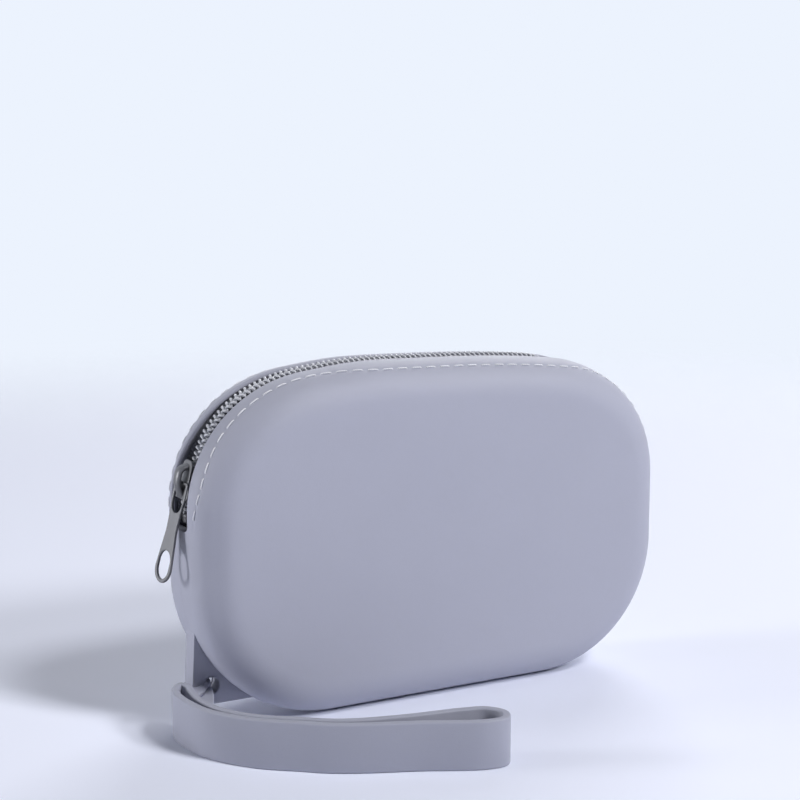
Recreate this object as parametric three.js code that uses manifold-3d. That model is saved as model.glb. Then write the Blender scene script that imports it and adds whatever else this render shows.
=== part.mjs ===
// A moulded silicone pouch with a sewn-in coil zip over its top half and a wrist strap on a corner lug.
// Millimetres, +Z up. The front faces -Y, and the origin is at the centre of the flat base.
import * as THREE from 'three';
import { mergeVertices } from 'three/addons/utils/BufferGeometryUtils.js';
import Module from 'manifold-3d';

const wasm = await Module();
wasm.setup();

// Pouch moulding
const POUCH_WIDTH = 146;
const POUCH_HEIGHT = 95;
const POUCH_DEPTH = 33;
const WALL = 2.5;
const TOP_CORNER_RADIUS = 36;
const TOP_CROWN_RADIUS = 462;
const BASE_CORNER_RADIUS = 38.6;
const EDGE_REACH = 11; // how far the rounded edge reaches into each face
const EDGE_FULLNESS = 2.2; // exponent of the rounded edge, where 2 is an ellipse

// Mouth, which the zip closes
const MOUTH_DROP = 4.4; // the mouth ends this far below the centres of the top corners
const LIP_GAP = 0.55; // between the slider and each lip
const LIP_LAND = 0.3; // level part of each lip, before its edge rounds over
const BEND_GAP = 0.3; // gap at the line where the upper front wall bends

// Corner lug with the strap hole
const LUG_INSET = 2; // from the side of the pouch
const LUG_FOOT = 5; // height of the lug's lower edge
const LUG_THICKNESS = 5;
const LUG_CORNER_RADIUS = 2;
const LUG_BAR = 3; // web between the hole and the lug's outer edge
const LUG_WEB = 2.5; // web below the hole

// Zip chain
const COIL_WIDTH = 2.4;
const COIL_THICKNESS = 2;
const COIL_SINK = 1.3; // coil's top below the lips
const ROW_GAP = 0.3; // between the two closed rows
const ROW_PART = 1.2; // how far each row moves aside past the slider's wedge
const TAPE_THICKNESS = 0.6;
const TAPE_MARGIN = 2.3; // tape beyond its seam, along the wall
const TAPE_TAIL = 8; // tape left beyond each end of the mouth
const TAPE_BITE = 0.45; // how far each tape reaches past its coil's middle
const CHAIN_GAP = 0.25; // between the coil, the tape, the stops and the wall
const STOP_LENGTH = 2.5;
const STOP_WIDTH = 2.8;
const STOP_SETBACK = 1; // from the end of the mouth

// Seams
const SEAM_MARGIN = 4.4; // seam from the lip's edge
const SEAM_SETBACK = 0.8; // from the end of the mouth
const THREAD_DIAMETER = 0.6;
const THREAD_GAP = 0.1;

// Slider
const SLIDER_RISE = 9.2; // slider's middle, along the top corner from its start
const SLIDER_LENGTH = 10.4;
const SLIDER_CORNER = 1.4;
const SLIDER_GAP = 0.35; // running gap to the coils and the tapes
const PLATE_THICKNESS = 0.9;
const FLANGE_FRONT = 0.65; // flange thickness where the rows are parted
const FLANGE_REAR = 1;
const PART_LAND = 0.3; // straight stretch of the channel at the front, where the rows are parted
const CLOSED_LAND = 2.3; // straight stretch at the rear, where the rows are closed
const WEDGE_WIDTH = 1.7;
const WEDGE_BACK = 1.2; // wedge's widest place from the slider's front edge
const BRIDGE_LENGTH = 7.2;
const BRIDGE_WIDTH = 2.4;
const BRIDGE_BAR = 0.8;
const BRIDGE_LEG = 1;
const BRIDGE_CORNER = 0.7;

// Pull tab
const PULL_LENGTH = 26.5; // from its cross bar's middle to its lower end
const PULL_THICKNESS = 1;
const PULL_BAR = 0.9; // cross bar that turns under the bridge
const PULL_GAP = 0.08; // round the turning cross bar
const PULL_HINGE = -1; // cross bar along the slider from its middle
const PULL_LEAN = 1.3; // degrees out from the slider's plate
const EYE_ROOM = 1.25; // from each side of the bridge to the eye
const EYE_WALL = 1.35;
const EYE_LENGTH = 8.3; // from the cross bar's middle to the eye's lower end
const PULL_WAIST = 6.6;
const SLOT_WIDTH = 5.8;
const SLOT_LENGTH = 8.2;
const SLOT_WALL = 1.5;

// Wrist strap
const STRAP_WIDTH = 12.6;
const STRAP_THICKNESS = 2;
const STRAP_EDGE = 0.5; // chamfer on the band's edges
const NECK_HEIGHT = 2.8; // narrow ring of the strap that goes through the lug's hole
const NECK_THICKNESS = 1.7;
const NECK_GAP = 0.45; // between the ring and the lug's bar
const HOLE_ROOM = 1.2; // above and below the ring in the lug's hole
// The band's route on the surface that the pouch stands on, in X and Y from the middle of the lug's bar.
// It starts with the two places that the ring is joined to, and runs round the loop back to them.
const STRAP_ROUTE = [
  [-4.8, -9], [-6.4, -5.6], [-8.6, -6.8], [-9.6, -11], [-8.6, -19.5], [-5.6, -27.5], [1.6, -37.6],
  [10.6, -44.8], [18.6, -50.6], [37.4, -58.8], [51.5, -65.2], [57, -65.3], [58.9, -61.8], [56.4, -57.4],
  [50.6, -55.4], [34.6, -52.6], [20.2, -48.2], [12.2, -42.6], [3.4, -35.2], [-2.4, -26], [-3.8, -16],
];

// Fineness of the curves
const EDGE_STEPS = 5;
const BASE_CORNER_STEPS = 10;
const TOP_CORNER_STEPS = 16;
const CROWN_STEPS = 4;
const COIL_SIDES = 6;
const THREAD_SIDES = 5;
const HOLE_SEGMENTS = 24;
const SHAPE_SEGMENTS = 10;
const STRAP_STEPS = 64;
const NECK_SEGMENTS = 32;
const LEAST_STEP = 0.05; // stations closer than this are one
const MERGE_DISTANCE = 1e-4;

// Finishes: colour, roughness and metalness
const SILICONE = { color: 0xa1a4b6, roughness: 0.62, metalness: 0 };
const TAPE_CLOTH = { color: 0x8e90a0, roughness: 0.9, metalness: 0 };
const COIL_NYLON = { color: 0xa9abb8, roughness: 0.45, metalness: 0 };
const STOP_METAL = { color: 0xb4b5bb, roughness: 0.4, metalness: 0.8 };
const SEAM_THREAD = { color: 0xc9cad6, roughness: 0.8, metalness: 0 };
const SLIDER_METAL = { color: 0xa3a4ad, roughness: 0.42, metalness: 0.7 };

// Derived widths, from the middle of the zip outwards
const closedMiddle = (ROW_GAP + COIL_WIDTH) / 2;
const closedSide = closedMiddle + COIL_WIDTH / 2 + SLIDER_GAP;
const partedSide = closedSide + ROW_PART;
const sliderFrontHalf = partedSide + FLANGE_FRONT;
const sliderRearHalf = closedSide + FLANGE_REAR;
const halfMouth = sliderFrontHalf + LIP_GAP;
const halfRim = halfMouth + LIP_LAND;
const seamY = halfMouth + SEAM_MARGIN;

// Derived outline of the pouch, seen from the front
const halfWidth = POUCH_WIDTH / 2;
const halfDepth = POUCH_DEPTH / 2;
const topCornerX = halfWidth - TOP_CORNER_RADIUS;
const crownZ = POUCH_HEIGHT - TOP_CROWN_RADIUS;
const topCornerZ = crownZ + Math.sqrt((TOP_CROWN_RADIUS - TOP_CORNER_RADIUS) ** 2 - topCornerX ** 2);
const crownAngle = Math.atan2(topCornerZ - crownZ, topCornerX);
const mouthEndZ = topCornerZ - MOUTH_DROP;
const baseRadius = Math.min(BASE_CORNER_RADIUS, mouthEndZ - TAPE_TAIL);
const baseCornerX = halfWidth - baseRadius;

const root = new THREE.Group();

// Adds a named piece with its own finish to a group.
function addPiece(parent, name, geometry, finish) {
  const piece = new THREE.Mesh(geometry, new THREE.MeshStandardMaterial(finish));
  piece.name = name;
  parent.add(piece);
}

// Turns a closed geometry into a solid that can be joined and cut.
function solid(geometry) {
  const bare = geometry.index ? geometry.toNonIndexed() : geometry.clone();
  for (const name of Object.keys(bare.attributes)) {
    if (name !== 'position') bare.deleteAttribute(name);
  }
  const merged = mergeVertices(bare, MERGE_DISTANCE);
  const vertProperties = new Float32Array(merged.attributes.position.array);
  const triVerts = new Uint32Array(merged.index.array);
  return new wasm.Manifold(new wasm.Mesh({ numProp: 3, vertProperties, triVerts }));
}

// Turns a solid back into a geometry.
function geometryOf(body) {
  const mesh = body.getMesh();
  const geometry = new THREE.BufferGeometry();
  geometry.setAttribute('position', new THREE.BufferAttribute(new Float32Array(mesh.vertProperties), 3));
  geometry.setIndex(new THREE.BufferAttribute(new Uint32Array(mesh.triVerts), 1));
  geometry.computeVertexNormals();
  return geometry;
}

// Triangles that fill a contour, turned the same way as the contour runs.
function fillContour(contour) {
  const turn = Math.sign(THREE.ShapeUtils.area(contour));
  const triangles = THREE.ShapeUtils.triangulateShape(contour, []);
  return triangles.map(([a, b, c]) => {
    const area = THREE.ShapeUtils.area([contour[a], contour[b], contour[c]]);
    return Math.sign(area) === turn ? [a, b, c] : [a, c, b];
  });
}

// Volume inside a triangle mesh, negative when its faces point inwards.
function enclosedVolume(positions, index) {
  const corner = (k) => new THREE.Vector3().fromArray(positions, index[k] * 3);
  let sum = 0;
  for (let k = 0; k < index.length; k += 3) {
    sum += corner(k).dot(corner(k + 1).cross(corner(k + 2)));
  }
  return sum / 6;
}

// A closed body through a row of rings.
// With two contours the ends are capped, and without them the row closes on itself.
function bodyThroughRings(rings, firstContour, lastContour) {
  const count = rings[0].length;
  const positions = rings.flat().flatMap((point) => [point.x, point.y, point.z]);
  const index = [];
  const spans = firstContour ? rings.length - 1 : rings.length;
  for (let i = 0; i < spans; i += 1) {
    const next = (i + 1) % rings.length;
    for (let j = 0; j < count; j += 1) {
      const a = i * count + j;
      const b = i * count + ((j + 1) % count);
      const c = next * count + ((j + 1) % count);
      const d = next * count + j;
      index.push(a, b, c, a, c, d);
    }
  }
  if (firstContour) {
    const lastStart = (rings.length - 1) * count;
    for (const [a, b, c] of fillContour(firstContour)) index.push(a, c, b);
    for (const [a, b, c] of fillContour(lastContour)) index.push(lastStart + a, lastStart + b, lastStart + c);
  }
  if (enclosedVolume(positions, index) < 0) index.reverse();
  const geometry = new THREE.BufferGeometry();
  geometry.setAttribute('position', new THREE.Float32BufferAttribute(positions, 3));
  geometry.setIndex(index);
  geometry.computeVertexNormals();
  return geometry;
}

// Stations of an arc: places on the outline with their outward normals.
function arcStations(centreX, centreZ, radius, from, to, steps) {
  return Array.from({ length: steps + 1 }, (_, k) => {
    const angle = THREE.MathUtils.lerp(from, to, k / steps);
    const nx = Math.cos(angle);
    const nz = Math.sin(angle);
    return { x: centreX + radius * nx, z: centreZ + radius * nz, nx, nz };
  });
}

const mirrored = (station) => ({ ...station, x: -station.x, nx: -station.nx });

const lowerRight = arcStations(baseCornerX, baseRadius, baseRadius, -Math.PI / 2, 0, BASE_CORNER_STEPS);
const mouthEnd = { x: halfWidth, z: mouthEndZ, nx: 1, nz: 0 };
const upperRight = [
  mouthEnd,
  ...arcStations(topCornerX, topCornerZ, TOP_CORNER_RADIUS, 0, crownAngle, TOP_CORNER_STEPS),
  ...arcStations(0, crownZ, TOP_CROWN_RADIUS, crownAngle, Math.PI / 2, CROWN_STEPS).slice(1),
];
const rightSide = [...lowerRight, ...upperRight];
const leftSide = rightSide.slice(0, -1).map(mirrored).reverse();
const outline = [...rightSide, ...leftSide];

// The mouth's path from its left end over the top to its right end, with the length run so far.
const tail = { x: halfWidth, z: mouthEndZ - TAPE_TAIL, nx: 1, nz: 0 };
const mouthPath = [
  mirrored(tail),
  ...upperRight.map(mirrored),
  ...upperRight.slice(0, -1).reverse(),
  tail,
];
mouthPath.forEach((station, k) => {
  const before = mouthPath[k - 1];
  station.run = before ? before.run + Math.hypot(station.x - before.x, station.z - before.z) : -TAPE_TAIL;
});
const mouthLength = mouthPath.at(-2).run;

// The station at a given run, between its two neighbours.
function stationAt(run) {
  const k = Math.max(1, mouthPath.findIndex((station) => station.run >= run));
  const before = mouthPath[k - 1];
  const after = mouthPath[k];
  const share = (run - before.run) / (after.run - before.run);
  const mix = (key) => THREE.MathUtils.lerp(before[key], after[key], share);
  const length = Math.hypot(mix('nx'), mix('nz'));
  return { x: mix('x'), z: mix('z'), nx: mix('nx') / length, nz: mix('nz') / length, run };
}

// The stations of a stretch of the mouth's path, with some extra runs put in.
function stretch(from, to, extra = []) {
  const within = mouthPath.filter((station) => station.run > from && station.run < to);
  const added = [from, ...extra, to].map(stationAt);
  const all = [...within, ...added].sort((a, b) => a.run - b.run);
  return all.filter((station, k) => k === 0 || station.run - all[k - 1].run > LEAST_STEP);
}

// A point at a station: across the depth, and sunk below the outline.
const sunkPoint = (station, y, sink) =>
  new THREE.Vector3(station.x - station.nx * sink, y, station.z - station.nz * sink);

// A bar along a stretch of the mouth, with a profile of [y, sink] pairs at each station.
function barAlong(stations, profileAt) {
  const profiles = stations.map(profileAt);
  const rings = stations.map((station, k) => profiles[k].map(([y, sink]) => sunkPoint(station, y, sink)));
  const contour = (profile) => profile.map(([y, sink]) => new THREE.Vector2(y, sink));
  return bodyThroughRings(rings, contour(profiles[0]), contour(profiles.at(-1)));
}

// An oval profile of a bar.
function ovalProfile(y, sink, width, height, sides) {
  return Array.from({ length: sides }, (_, k) => {
    const angle = (2 * Math.PI * (k + 0.5)) / sides;
    return [y + (width / 2) * Math.cos(angle), sink + (height / 2) * Math.sin(angle)];
  });
}

// Rounded edges of the moulding's two skins: their reach across the depth and into the face.
const outerEdge = { across: halfDepth - halfRim, into: EDGE_REACH, start: 0 };
const innerEdge = { across: halfDepth - WALL - halfRim, into: EDGE_REACH - WALL, start: WALL };

// A place [y, sink] on a rounded edge, from the rim at turn 0 to the face at a quarter turn.
// A lift moves it along the edge's normal, out of the moulding.
function edgePlace(edge, turn, lift = 0) {
  const across = Math.sin(turn) ** (2 / EDGE_FULLNESS);
  const into = Math.cos(turn) ** (2 / EDGE_FULLNESS);
  const normalY = across ** (EDGE_FULLNESS - 1) / edge.across;
  const normalOut = into ** (EDGE_FULLNESS - 1) / edge.into;
  const scale = lift / Math.hypot(normalY, normalOut);
  return [
    halfRim + edge.across * across + scale * normalY,
    edge.start + edge.into * (1 - into) - scale * normalOut,
  ];
}

// The turn at which a rounded edge is a given way across the depth.
const turnAt = (edge, y) => Math.asin(Math.min(1, (y - halfRim) / edge.across) ** (EDGE_FULLNESS / 2));

// A full pouch form inside one skin: rings round the outline from the rear face to the front face.
function pouchForm(edge) {
  const front = Array.from({ length: EDGE_STEPS + 1 }, (_, k) => {
    const [y, sink] = edgePlace(edge, (Math.PI / 2) * (k / EDGE_STEPS));
    return [-y, sink];
  });
  const rear = front.map(([y, sink]) => [-y, sink]).reverse();
  const rings = [...rear, ...front].map(([y, sink]) => outline.map((station) => sunkPoint(station, y, sink)));
  const contour = rings[0].map((point) => new THREE.Vector2(point.x, point.z));
  return solid(bodyThroughRings(rings, contour, contour));
}

// A box given by its lowest and highest corners.
function boxBetween(low, high) {
  const size = high.map((value, k) => value - low[k]);
  const geometry = new THREE.BoxGeometry(...size);
  geometry.translate(...high.map((value, k) => (value + low[k]) / 2));
  return solid(geometry);
}

// A shape drawn flat, extruded to a depth with no bevel.
function slab(shape, depth) {
  return new THREE.ExtrudeGeometry(shape, { depth, bevelEnabled: false, curveSegments: SHAPE_SEGMENTS });
}

// A shape drawn in X and Z, as thick as given across Y and centred on Y 0.
function slabAcross(shape, thickness) {
  const geometry = slab(shape, thickness);
  geometry.rotateX(Math.PI / 2);
  geometry.translate(0, thickness / 2, 0);
  return solid(geometry);
}

// A shape drawn in Y and Z, extruded along X between two places.
function slabAlong(shape, from, to) {
  const geometry = slab(shape, to - from);
  const axes = new THREE.Matrix4().makeBasis(
    new THREE.Vector3(0, 1, 0), new THREE.Vector3(0, 0, 1), new THREE.Vector3(1, 0, 0));
  geometry.applyMatrix4(axes);
  geometry.translate(from, 0, 0);
  return solid(geometry);
}

// A closed shape through corners [u, v, radius], each rounded by its radius.
function roundedShape(corners) {
  const shape = new THREE.Shape();
  corners.forEach(([u, v, radius], k) => {
    const here = new THREE.Vector2(u, v);
    const before = new THREE.Vector2(...corners.at(k - 1).slice(0, 2));
    const after = new THREE.Vector2(...corners[(k + 1) % corners.length].slice(0, 2));
    const start = here.clone().add(before.sub(here).setLength(radius));
    const end = here.clone().add(after.sub(here).setLength(radius));
    if (k === 0) shape.moveTo(start.x, start.y);
    else shape.lineTo(start.x, start.y);
    if (radius > 0) shape.quadraticCurveTo(u, v, end.x, end.y);
  });
  shape.closePath();
  return shape;
}

// Pouch moulding: a hollow form with the mouth cut in its rim and the corner lug added
const holeRadius = NECK_HEIGHT / 2 + HOLE_ROOM;
const lugLeft = LUG_INSET - halfWidth;
const lugHoleX = lugLeft + LUG_BAR + holeRadius;
const lugHoleZ = LUG_FOOT + LUG_WEB + holeRadius;

// The lug fills the lower left corner between the pouch's rounded side and a square corner.
// Its own round side lies inside the pouch's wall.
function lugSolid() {
  const rootRadius = baseRadius - Math.min(WALL, LUG_INSET, LUG_FOOT) / 2;
  const upper = Math.PI + Math.acos((-baseCornerX - lugLeft) / rootRadius);
  const lower = Math.PI + Math.asin((baseRadius - LUG_FOOT) / rootRadius);
  const cornerX = lugLeft + LUG_CORNER_RADIUS;
  const cornerZ = LUG_FOOT + LUG_CORNER_RADIUS;
  const shape = new THREE.Shape();
  shape.moveTo(-baseCornerX + rootRadius * Math.cos(upper), baseRadius + rootRadius * Math.sin(upper));
  shape.lineTo(lugLeft, cornerZ);
  shape.absarc(cornerX, cornerZ, LUG_CORNER_RADIUS, Math.PI, 1.5 * Math.PI, false);
  shape.lineTo(-baseCornerX + rootRadius * Math.cos(lower), LUG_FOOT);
  shape.absarc(-baseCornerX, baseRadius, rootRadius, lower, upper, true);
  const hole = new THREE.CylinderGeometry(holeRadius, holeRadius, 2 * LUG_THICKNESS, HOLE_SEGMENTS);
  hole.translate(lugHoleX, 0, lugHoleZ);
  return slabAcross(shape, LUG_THICKNESS).subtract(solid(hole));
}

const mouthCut = boxBetween(
  [-POUCH_WIDTH, -halfMouth, mouthEndZ], [POUCH_WIDTH, halfMouth, 2 * POUCH_HEIGHT]);
const moulding = pouchForm(outerEdge).subtract(pouchForm(innerEdge)).subtract(mouthCut).add(lugSolid());
const frontAbove = (z) => boxBetween([-POUCH_WIDTH, -POUCH_DEPTH, z], [POUCH_WIDTH, 0, 2 * POUCH_HEIGHT]);
const bodySolid = moulding.subtract(frontAbove(mouthEndZ - BEND_GAP / 2));
const flapSolid = moulding.intersect(frontAbove(mouthEndZ + BEND_GAP / 2));
addPiece(root, 'pouch_body', geometryOf(bodySolid), SILICONE);
addPiece(root, 'front_flap', geometryOf(flapSolid), SILICONE);

// Zip chain: two tapes under the lips, each with a coil, and the stops at the coils' ends
const sliderRun = MOUTH_DROP + SLIDER_RISE;
const sliderFront = -SLIDER_LENGTH / 2;
const sliderRear = SLIDER_LENGTH / 2;
const partTo = sliderFront + SLIDER_CORNER + PART_LAND;
const partFrom = sliderRear - SLIDER_CORNER - CLOSED_LAND;
const partMiddle = (partFrom + partTo) / 2;
const partRuns = [partFrom, partMiddle, partTo].map((along) => sliderRun + along);
const coilMiddle = COIL_SINK + COIL_THICKNESS / 2;
const coilFoot = COIL_SINK + COIL_THICKNESS;
const tapeTop = Math.max(coilFoot, WALL) + CHAIN_GAP;

// Middle of a coil row from the middle of the zip: the rows part in front of the slider's wedge.
function rowMiddle(run) {
  const share = (sliderRun + partFrom - run) / (partFrom - partTo);
  return closedMiddle + ROW_PART * THREE.MathUtils.clamp(share, 0, 1);
}

// Profile of a tape: level from under the coil to the seam, then close under the wall to its edge.
function tapeProfile(side, run) {
  const inner = rowMiddle(run) - TAPE_BITE;
  const seamTurn = turnAt(innerEdge, seamY);
  const edgeTurn = Math.min(Math.PI / 2, seamTurn + TAPE_MARGIN / innerEdge.across);
  const turns = [seamTurn, (seamTurn + edgeTurn) / 2, edgeTurn];
  const skin = (level, gap) => [
    [inner, level],
    ...turns.map((turn) => edgePlace(innerEdge, turn, -gap)).map(([y, sink]) => [y, Math.max(level, sink)]),
  ];
  const top = skin(tapeTop, CHAIN_GAP);
  const under = skin(tapeTop + TAPE_THICKNESS, CHAIN_GAP + TAPE_THICKNESS).reverse();
  return [...top, ...under].map(([y, sink]) => [side * y, sink]);
}

// Profile of a stop, as high as the coils.
const stopProfile = (low, high) => [[low, COIL_SINK], [high, COIL_SINK], [high, coilFoot], [low, coilFoot]];

const sides = [[-1, 'front'], [1, 'rear']];
const stopTo = STOP_SETBACK + STOP_LENGTH;
const coilFrom = stopTo + CHAIN_GAP;
for (const [side, sideName] of sides) {
  const tapeStretch = stretch(-TAPE_TAIL, mouthLength + TAPE_TAIL, partRuns);
  const tape = barAlong(tapeStretch, (station) => tapeProfile(side, station.run));
  addPiece(root, `${sideName}_zip_tape`, tape, TAPE_CLOTH);
  const coilStretch = stretch(coilFrom, mouthLength - coilFrom, partRuns);
  const coil = barAlong(coilStretch, (station) =>
    ovalProfile(side * rowMiddle(station.run), coilMiddle, COIL_WIDTH, COIL_THICKNESS, COIL_SIDES));
  addPiece(root, `${sideName}_coil`, coil, COIL_NYLON);
  const stopMiddle = side * rowMiddle(stopTo);
  const stop = barAlong(stretch(STOP_SETBACK, stopTo), () =>
    stopProfile(stopMiddle - STOP_WIDTH / 2, stopMiddle + STOP_WIDTH / 2));
  addPiece(root, `${sideName}_top_stop`, stop, STOP_METAL);
}
const chainHalf = closedMiddle + COIL_WIDTH / 2;
const bottomStop = barAlong(stretch(mouthLength - stopTo, mouthLength - STOP_SETBACK), () =>
  stopProfile(-chainHalf, chainHalf));
addPiece(root, 'bottom_stop', bottomStop, STOP_METAL);

// Seams: one thread along each lip, on the outside of the rounded edge
const [threadY, threadSink] = edgePlace(
  outerEdge, turnAt(outerEdge, seamY), THREAD_DIAMETER / 2 + THREAD_GAP);
for (const [side, sideName] of sides) {
  const thread = barAlong(stretch(SEAM_SETBACK, mouthLength - SEAM_SETBACK), () =>
    ovalProfile(side * threadY, threadSink, THREAD_DIAMETER, THREAD_DIAMETER, THREAD_SIDES));
  addPiece(root, `${sideName}_seam_thread`, thread, SEAM_THREAD);
}

// Slider, in a group on the left corner: X is the depth below the lips, Z runs up along the chain
const sliderAngle = SLIDER_RISE / TOP_CORNER_RADIUS;
const sliderGroup = new THREE.Group();
sliderGroup.position.set(
  -topCornerX - TOP_CORNER_RADIUS * Math.cos(sliderAngle), 0,
  topCornerZ + TOP_CORNER_RADIUS * Math.sin(sliderAngle));
sliderGroup.rotation.y = sliderAngle;
root.add(sliderGroup);

const chainBow = SLIDER_LENGTH ** 2 / (8 * TOP_CORNER_RADIUS); // the chain's curve inside the straight slider
const topPlateInside = COIL_SINK - SLIDER_GAP;
const topPlateOutside = topPlateInside - PLATE_THICKNESS;
const lowerPlateInside = tapeTop + TAPE_THICKNESS + SLIDER_GAP + chainBow;
const flangeFoot = tapeTop - SLIDER_GAP;
const bridgeInside = topPlateOutside - Math.hypot(PULL_THICKNESS, PULL_BAR) - 2 * PULL_GAP;

// Two plates, a flange along each side, the wedge between the rows and the bridge over the top plate.
function sliderSolid() {
  const plate = roundedShape([
    [-sliderFrontHalf, sliderFront, SLIDER_CORNER], [sliderFrontHalf, sliderFront, SLIDER_CORNER],
    [sliderRearHalf, sliderRear, SLIDER_CORNER], [-sliderRearHalf, sliderRear, SLIDER_CORNER]]);
  let body = slabAlong(plate, topPlateOutside, topPlateInside);
  body = body.add(slabAlong(plate, lowerPlateInside, lowerPlateInside + PLATE_THICKNESS));
  const overlap = PLATE_THICKNESS / 2;
  const flangeFront = sliderFront + SLIDER_CORNER;
  const flangeRear = sliderRear - SLIDER_CORNER;
  for (const [side] of sides) {
    const flange = roundedShape([
      [side * sliderFrontHalf, flangeFront, 0], [side * partedSide, flangeFront, 0],
      [side * partedSide, partTo, 0], [side * closedSide, partFrom, 0],
      [side * closedSide, flangeRear, 0], [side * sliderRearHalf, flangeRear, 0]]);
    body = body.add(slabAlong(flange, topPlateInside - overlap, flangeFoot));
  }
  const wedgeFront = sliderFront + WEDGE_BACK;
  const wedge = roundedShape([
    [0, wedgeFront - WEDGE_WIDTH / 2, 0], [WEDGE_WIDTH / 2, wedgeFront, 0],
    [0, partMiddle, 0], [-WEDGE_WIDTH / 2, wedgeFront, 0]]);
  body = body.add(slabAlong(wedge, topPlateInside - overlap, lowerPlateInside + overlap));
  const bridgeOutside = bridgeInside - BRIDGE_BAR;
  const legFoot = topPlateOutside + overlap;
  const bridgeEnd = BRIDGE_LENGTH / 2;
  const bridgeHole = bridgeEnd - BRIDGE_LEG;
  const bridge = roundedShape([
    [legFoot, -bridgeEnd, 0], [bridgeOutside, -bridgeEnd, BRIDGE_CORNER],
    [bridgeOutside, bridgeEnd, BRIDGE_CORNER], [legFoot, bridgeEnd, 0],
    [legFoot, bridgeHole, 0], [bridgeInside, bridgeHole, 0],
    [bridgeInside, -bridgeHole, 0], [legFoot, -bridgeHole, 0]]);
  return body.add(slabAcross(bridge, BRIDGE_WIDTH));
}
addPiece(sliderGroup, 'slider_body', geometryOf(sliderSolid()), SLIDER_METAL);

// Pull tab, hung by its cross bar in the middle of the bridge's clear height
const pullGroup = new THREE.Group();
pullGroup.position.set((topPlateOutside + bridgeInside) / 2, 0, PULL_HINGE);
pullGroup.rotation.y = THREE.MathUtils.degToRad(PULL_LEAN);
sliderGroup.add(pullGroup);

// The eye: square under the cross bar and round at its lower end.
function eyePath(half) {
  const barFoot = -PULL_BAR / 2;
  const path = new THREE.Path();
  path.moveTo(-half, barFoot);
  path.lineTo(half, barFoot);
  path.lineTo(half, half - EYE_LENGTH);
  path.absarc(0, half - EYE_LENGTH, half, 0, -Math.PI, true);
  return path;
}

// The slot near the lower end, with round ends.
function slotPath(foot) {
  const radius = SLOT_WIDTH / 2;
  const path = new THREE.Path();
  path.moveTo(-radius, foot + SLOT_LENGTH - radius);
  path.absarc(0, foot + radius, radius, Math.PI, 2 * Math.PI, false);
  path.absarc(0, foot + SLOT_LENGTH - radius, radius, 0, Math.PI, false);
  return path;
}

function pullShape() {
  const top = PULL_BAR / 2;
  const eyeHoleHalf = BRIDGE_WIDTH / 2 + EYE_ROOM;
  const eyeHalf = eyeHoleHalf + EYE_WALL;
  const waistHalf = PULL_WAIST / 2;
  const footHalf = SLOT_WIDTH / 2 + SLOT_WALL;
  const footZ = footHalf - PULL_LENGTH;
  const slotFoot = SLOT_WALL - PULL_LENGTH;
  const waistZ = (slotFoot + SLOT_LENGTH - EYE_LENGTH) / 2;
  const shape = new THREE.Shape();
  shape.moveTo(-eyeHoleHalf, top);
  shape.quadraticCurveTo(-eyeHalf, top, -eyeHalf, top - EYE_WALL);
  shape.lineTo(-eyeHalf, -EYE_LENGTH / 2);
  shape.quadraticCurveTo(-waistHalf, -EYE_LENGTH, -waistHalf, waistZ);
  shape.lineTo(-footHalf, footZ);
  shape.absarc(0, footZ, footHalf, Math.PI, 2 * Math.PI, false);
  shape.lineTo(waistHalf, waistZ);
  shape.quadraticCurveTo(waistHalf, -EYE_LENGTH, eyeHalf, -EYE_LENGTH / 2);
  shape.lineTo(eyeHalf, top - EYE_WALL);
  shape.quadraticCurveTo(eyeHalf, top, eyeHoleHalf, top);
  shape.holes.push(eyePath(eyeHoleHalf), slotPath(slotFoot));
  return shape;
}
const pullSolid = slabAlong(pullShape(), -PULL_THICKNESS / 2, PULL_THICKNESS / 2);
addPiece(pullGroup, 'pull_tab', geometryOf(pullSolid), SLIDER_METAL);

// Wrist strap: a flat band that stands on its edge in a long closed loop, with a ring round the lug's bar
const neckInside = Math.hypot(LUG_BAR / 2, LUG_THICKNESS / 2) + NECK_GAP;
const neckOutside = neckInside + NECK_THICKNESS;

function bandSolid() {
  const points = STRAP_ROUTE.map(([x, y]) => new THREE.Vector3(x, y, 0));
  const route = new THREE.CatmullRomCurve3(points, true, 'centripetal');
  const half = STRAP_THICKNESS / 2;
  const profile = [
    [-half, STRAP_EDGE], [STRAP_EDGE - half, 0], [half - STRAP_EDGE, 0], [half, STRAP_EDGE],
    [half, STRAP_WIDTH - STRAP_EDGE], [half - STRAP_EDGE, STRAP_WIDTH],
    [STRAP_EDGE - half, STRAP_WIDTH], [-half, STRAP_WIDTH - STRAP_EDGE]];
  const rings = Array.from({ length: STRAP_STEPS }, (_, k) => {
    const place = route.getPoint(k / STRAP_STEPS);
    const along = route.getTangent(k / STRAP_STEPS);
    return profile.map(([out, z]) => new THREE.Vector3(place.x - along.y * out, place.y + along.x * out, z));
  });
  return solid(bodyThroughRings(rings));
}

// The ring round the bar, and the short web from it to the band's near end.
function neckSolid() {
  const low = lugHoleZ - NECK_HEIGHT / 2;
  const high = lugHoleZ + NECK_HEIGHT / 2;
  const section = [[neckInside, low], [neckOutside, low], [neckOutside, high], [neckInside, high]];
  const corners = [...section, section[0]].map(([radius, z]) => new THREE.Vector2(radius, z));
  const ring = new THREE.LatheGeometry(corners, NECK_SEGMENTS);
  ring.rotateX(Math.PI / 2);
  const near = (neckInside + neckOutside) / 2;
  const [innerFoot, nearTip] = STRAP_ROUTE;
  const web = new THREE.Shape();
  web.moveTo(-near, 0);
  web.lineTo(-near * Math.SQRT1_2, -near * Math.SQRT1_2);
  web.lineTo(...innerFoot);
  web.lineTo(...nearTip);
  const webLow = Math.min(low, STRAP_WIDTH / 2);
  const webGeometry = slab(web, high - webLow);
  webGeometry.translate(0, 0, webLow);
  return solid(ring).add(solid(webGeometry));
}
const strapGroup = new THREE.Group();
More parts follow.
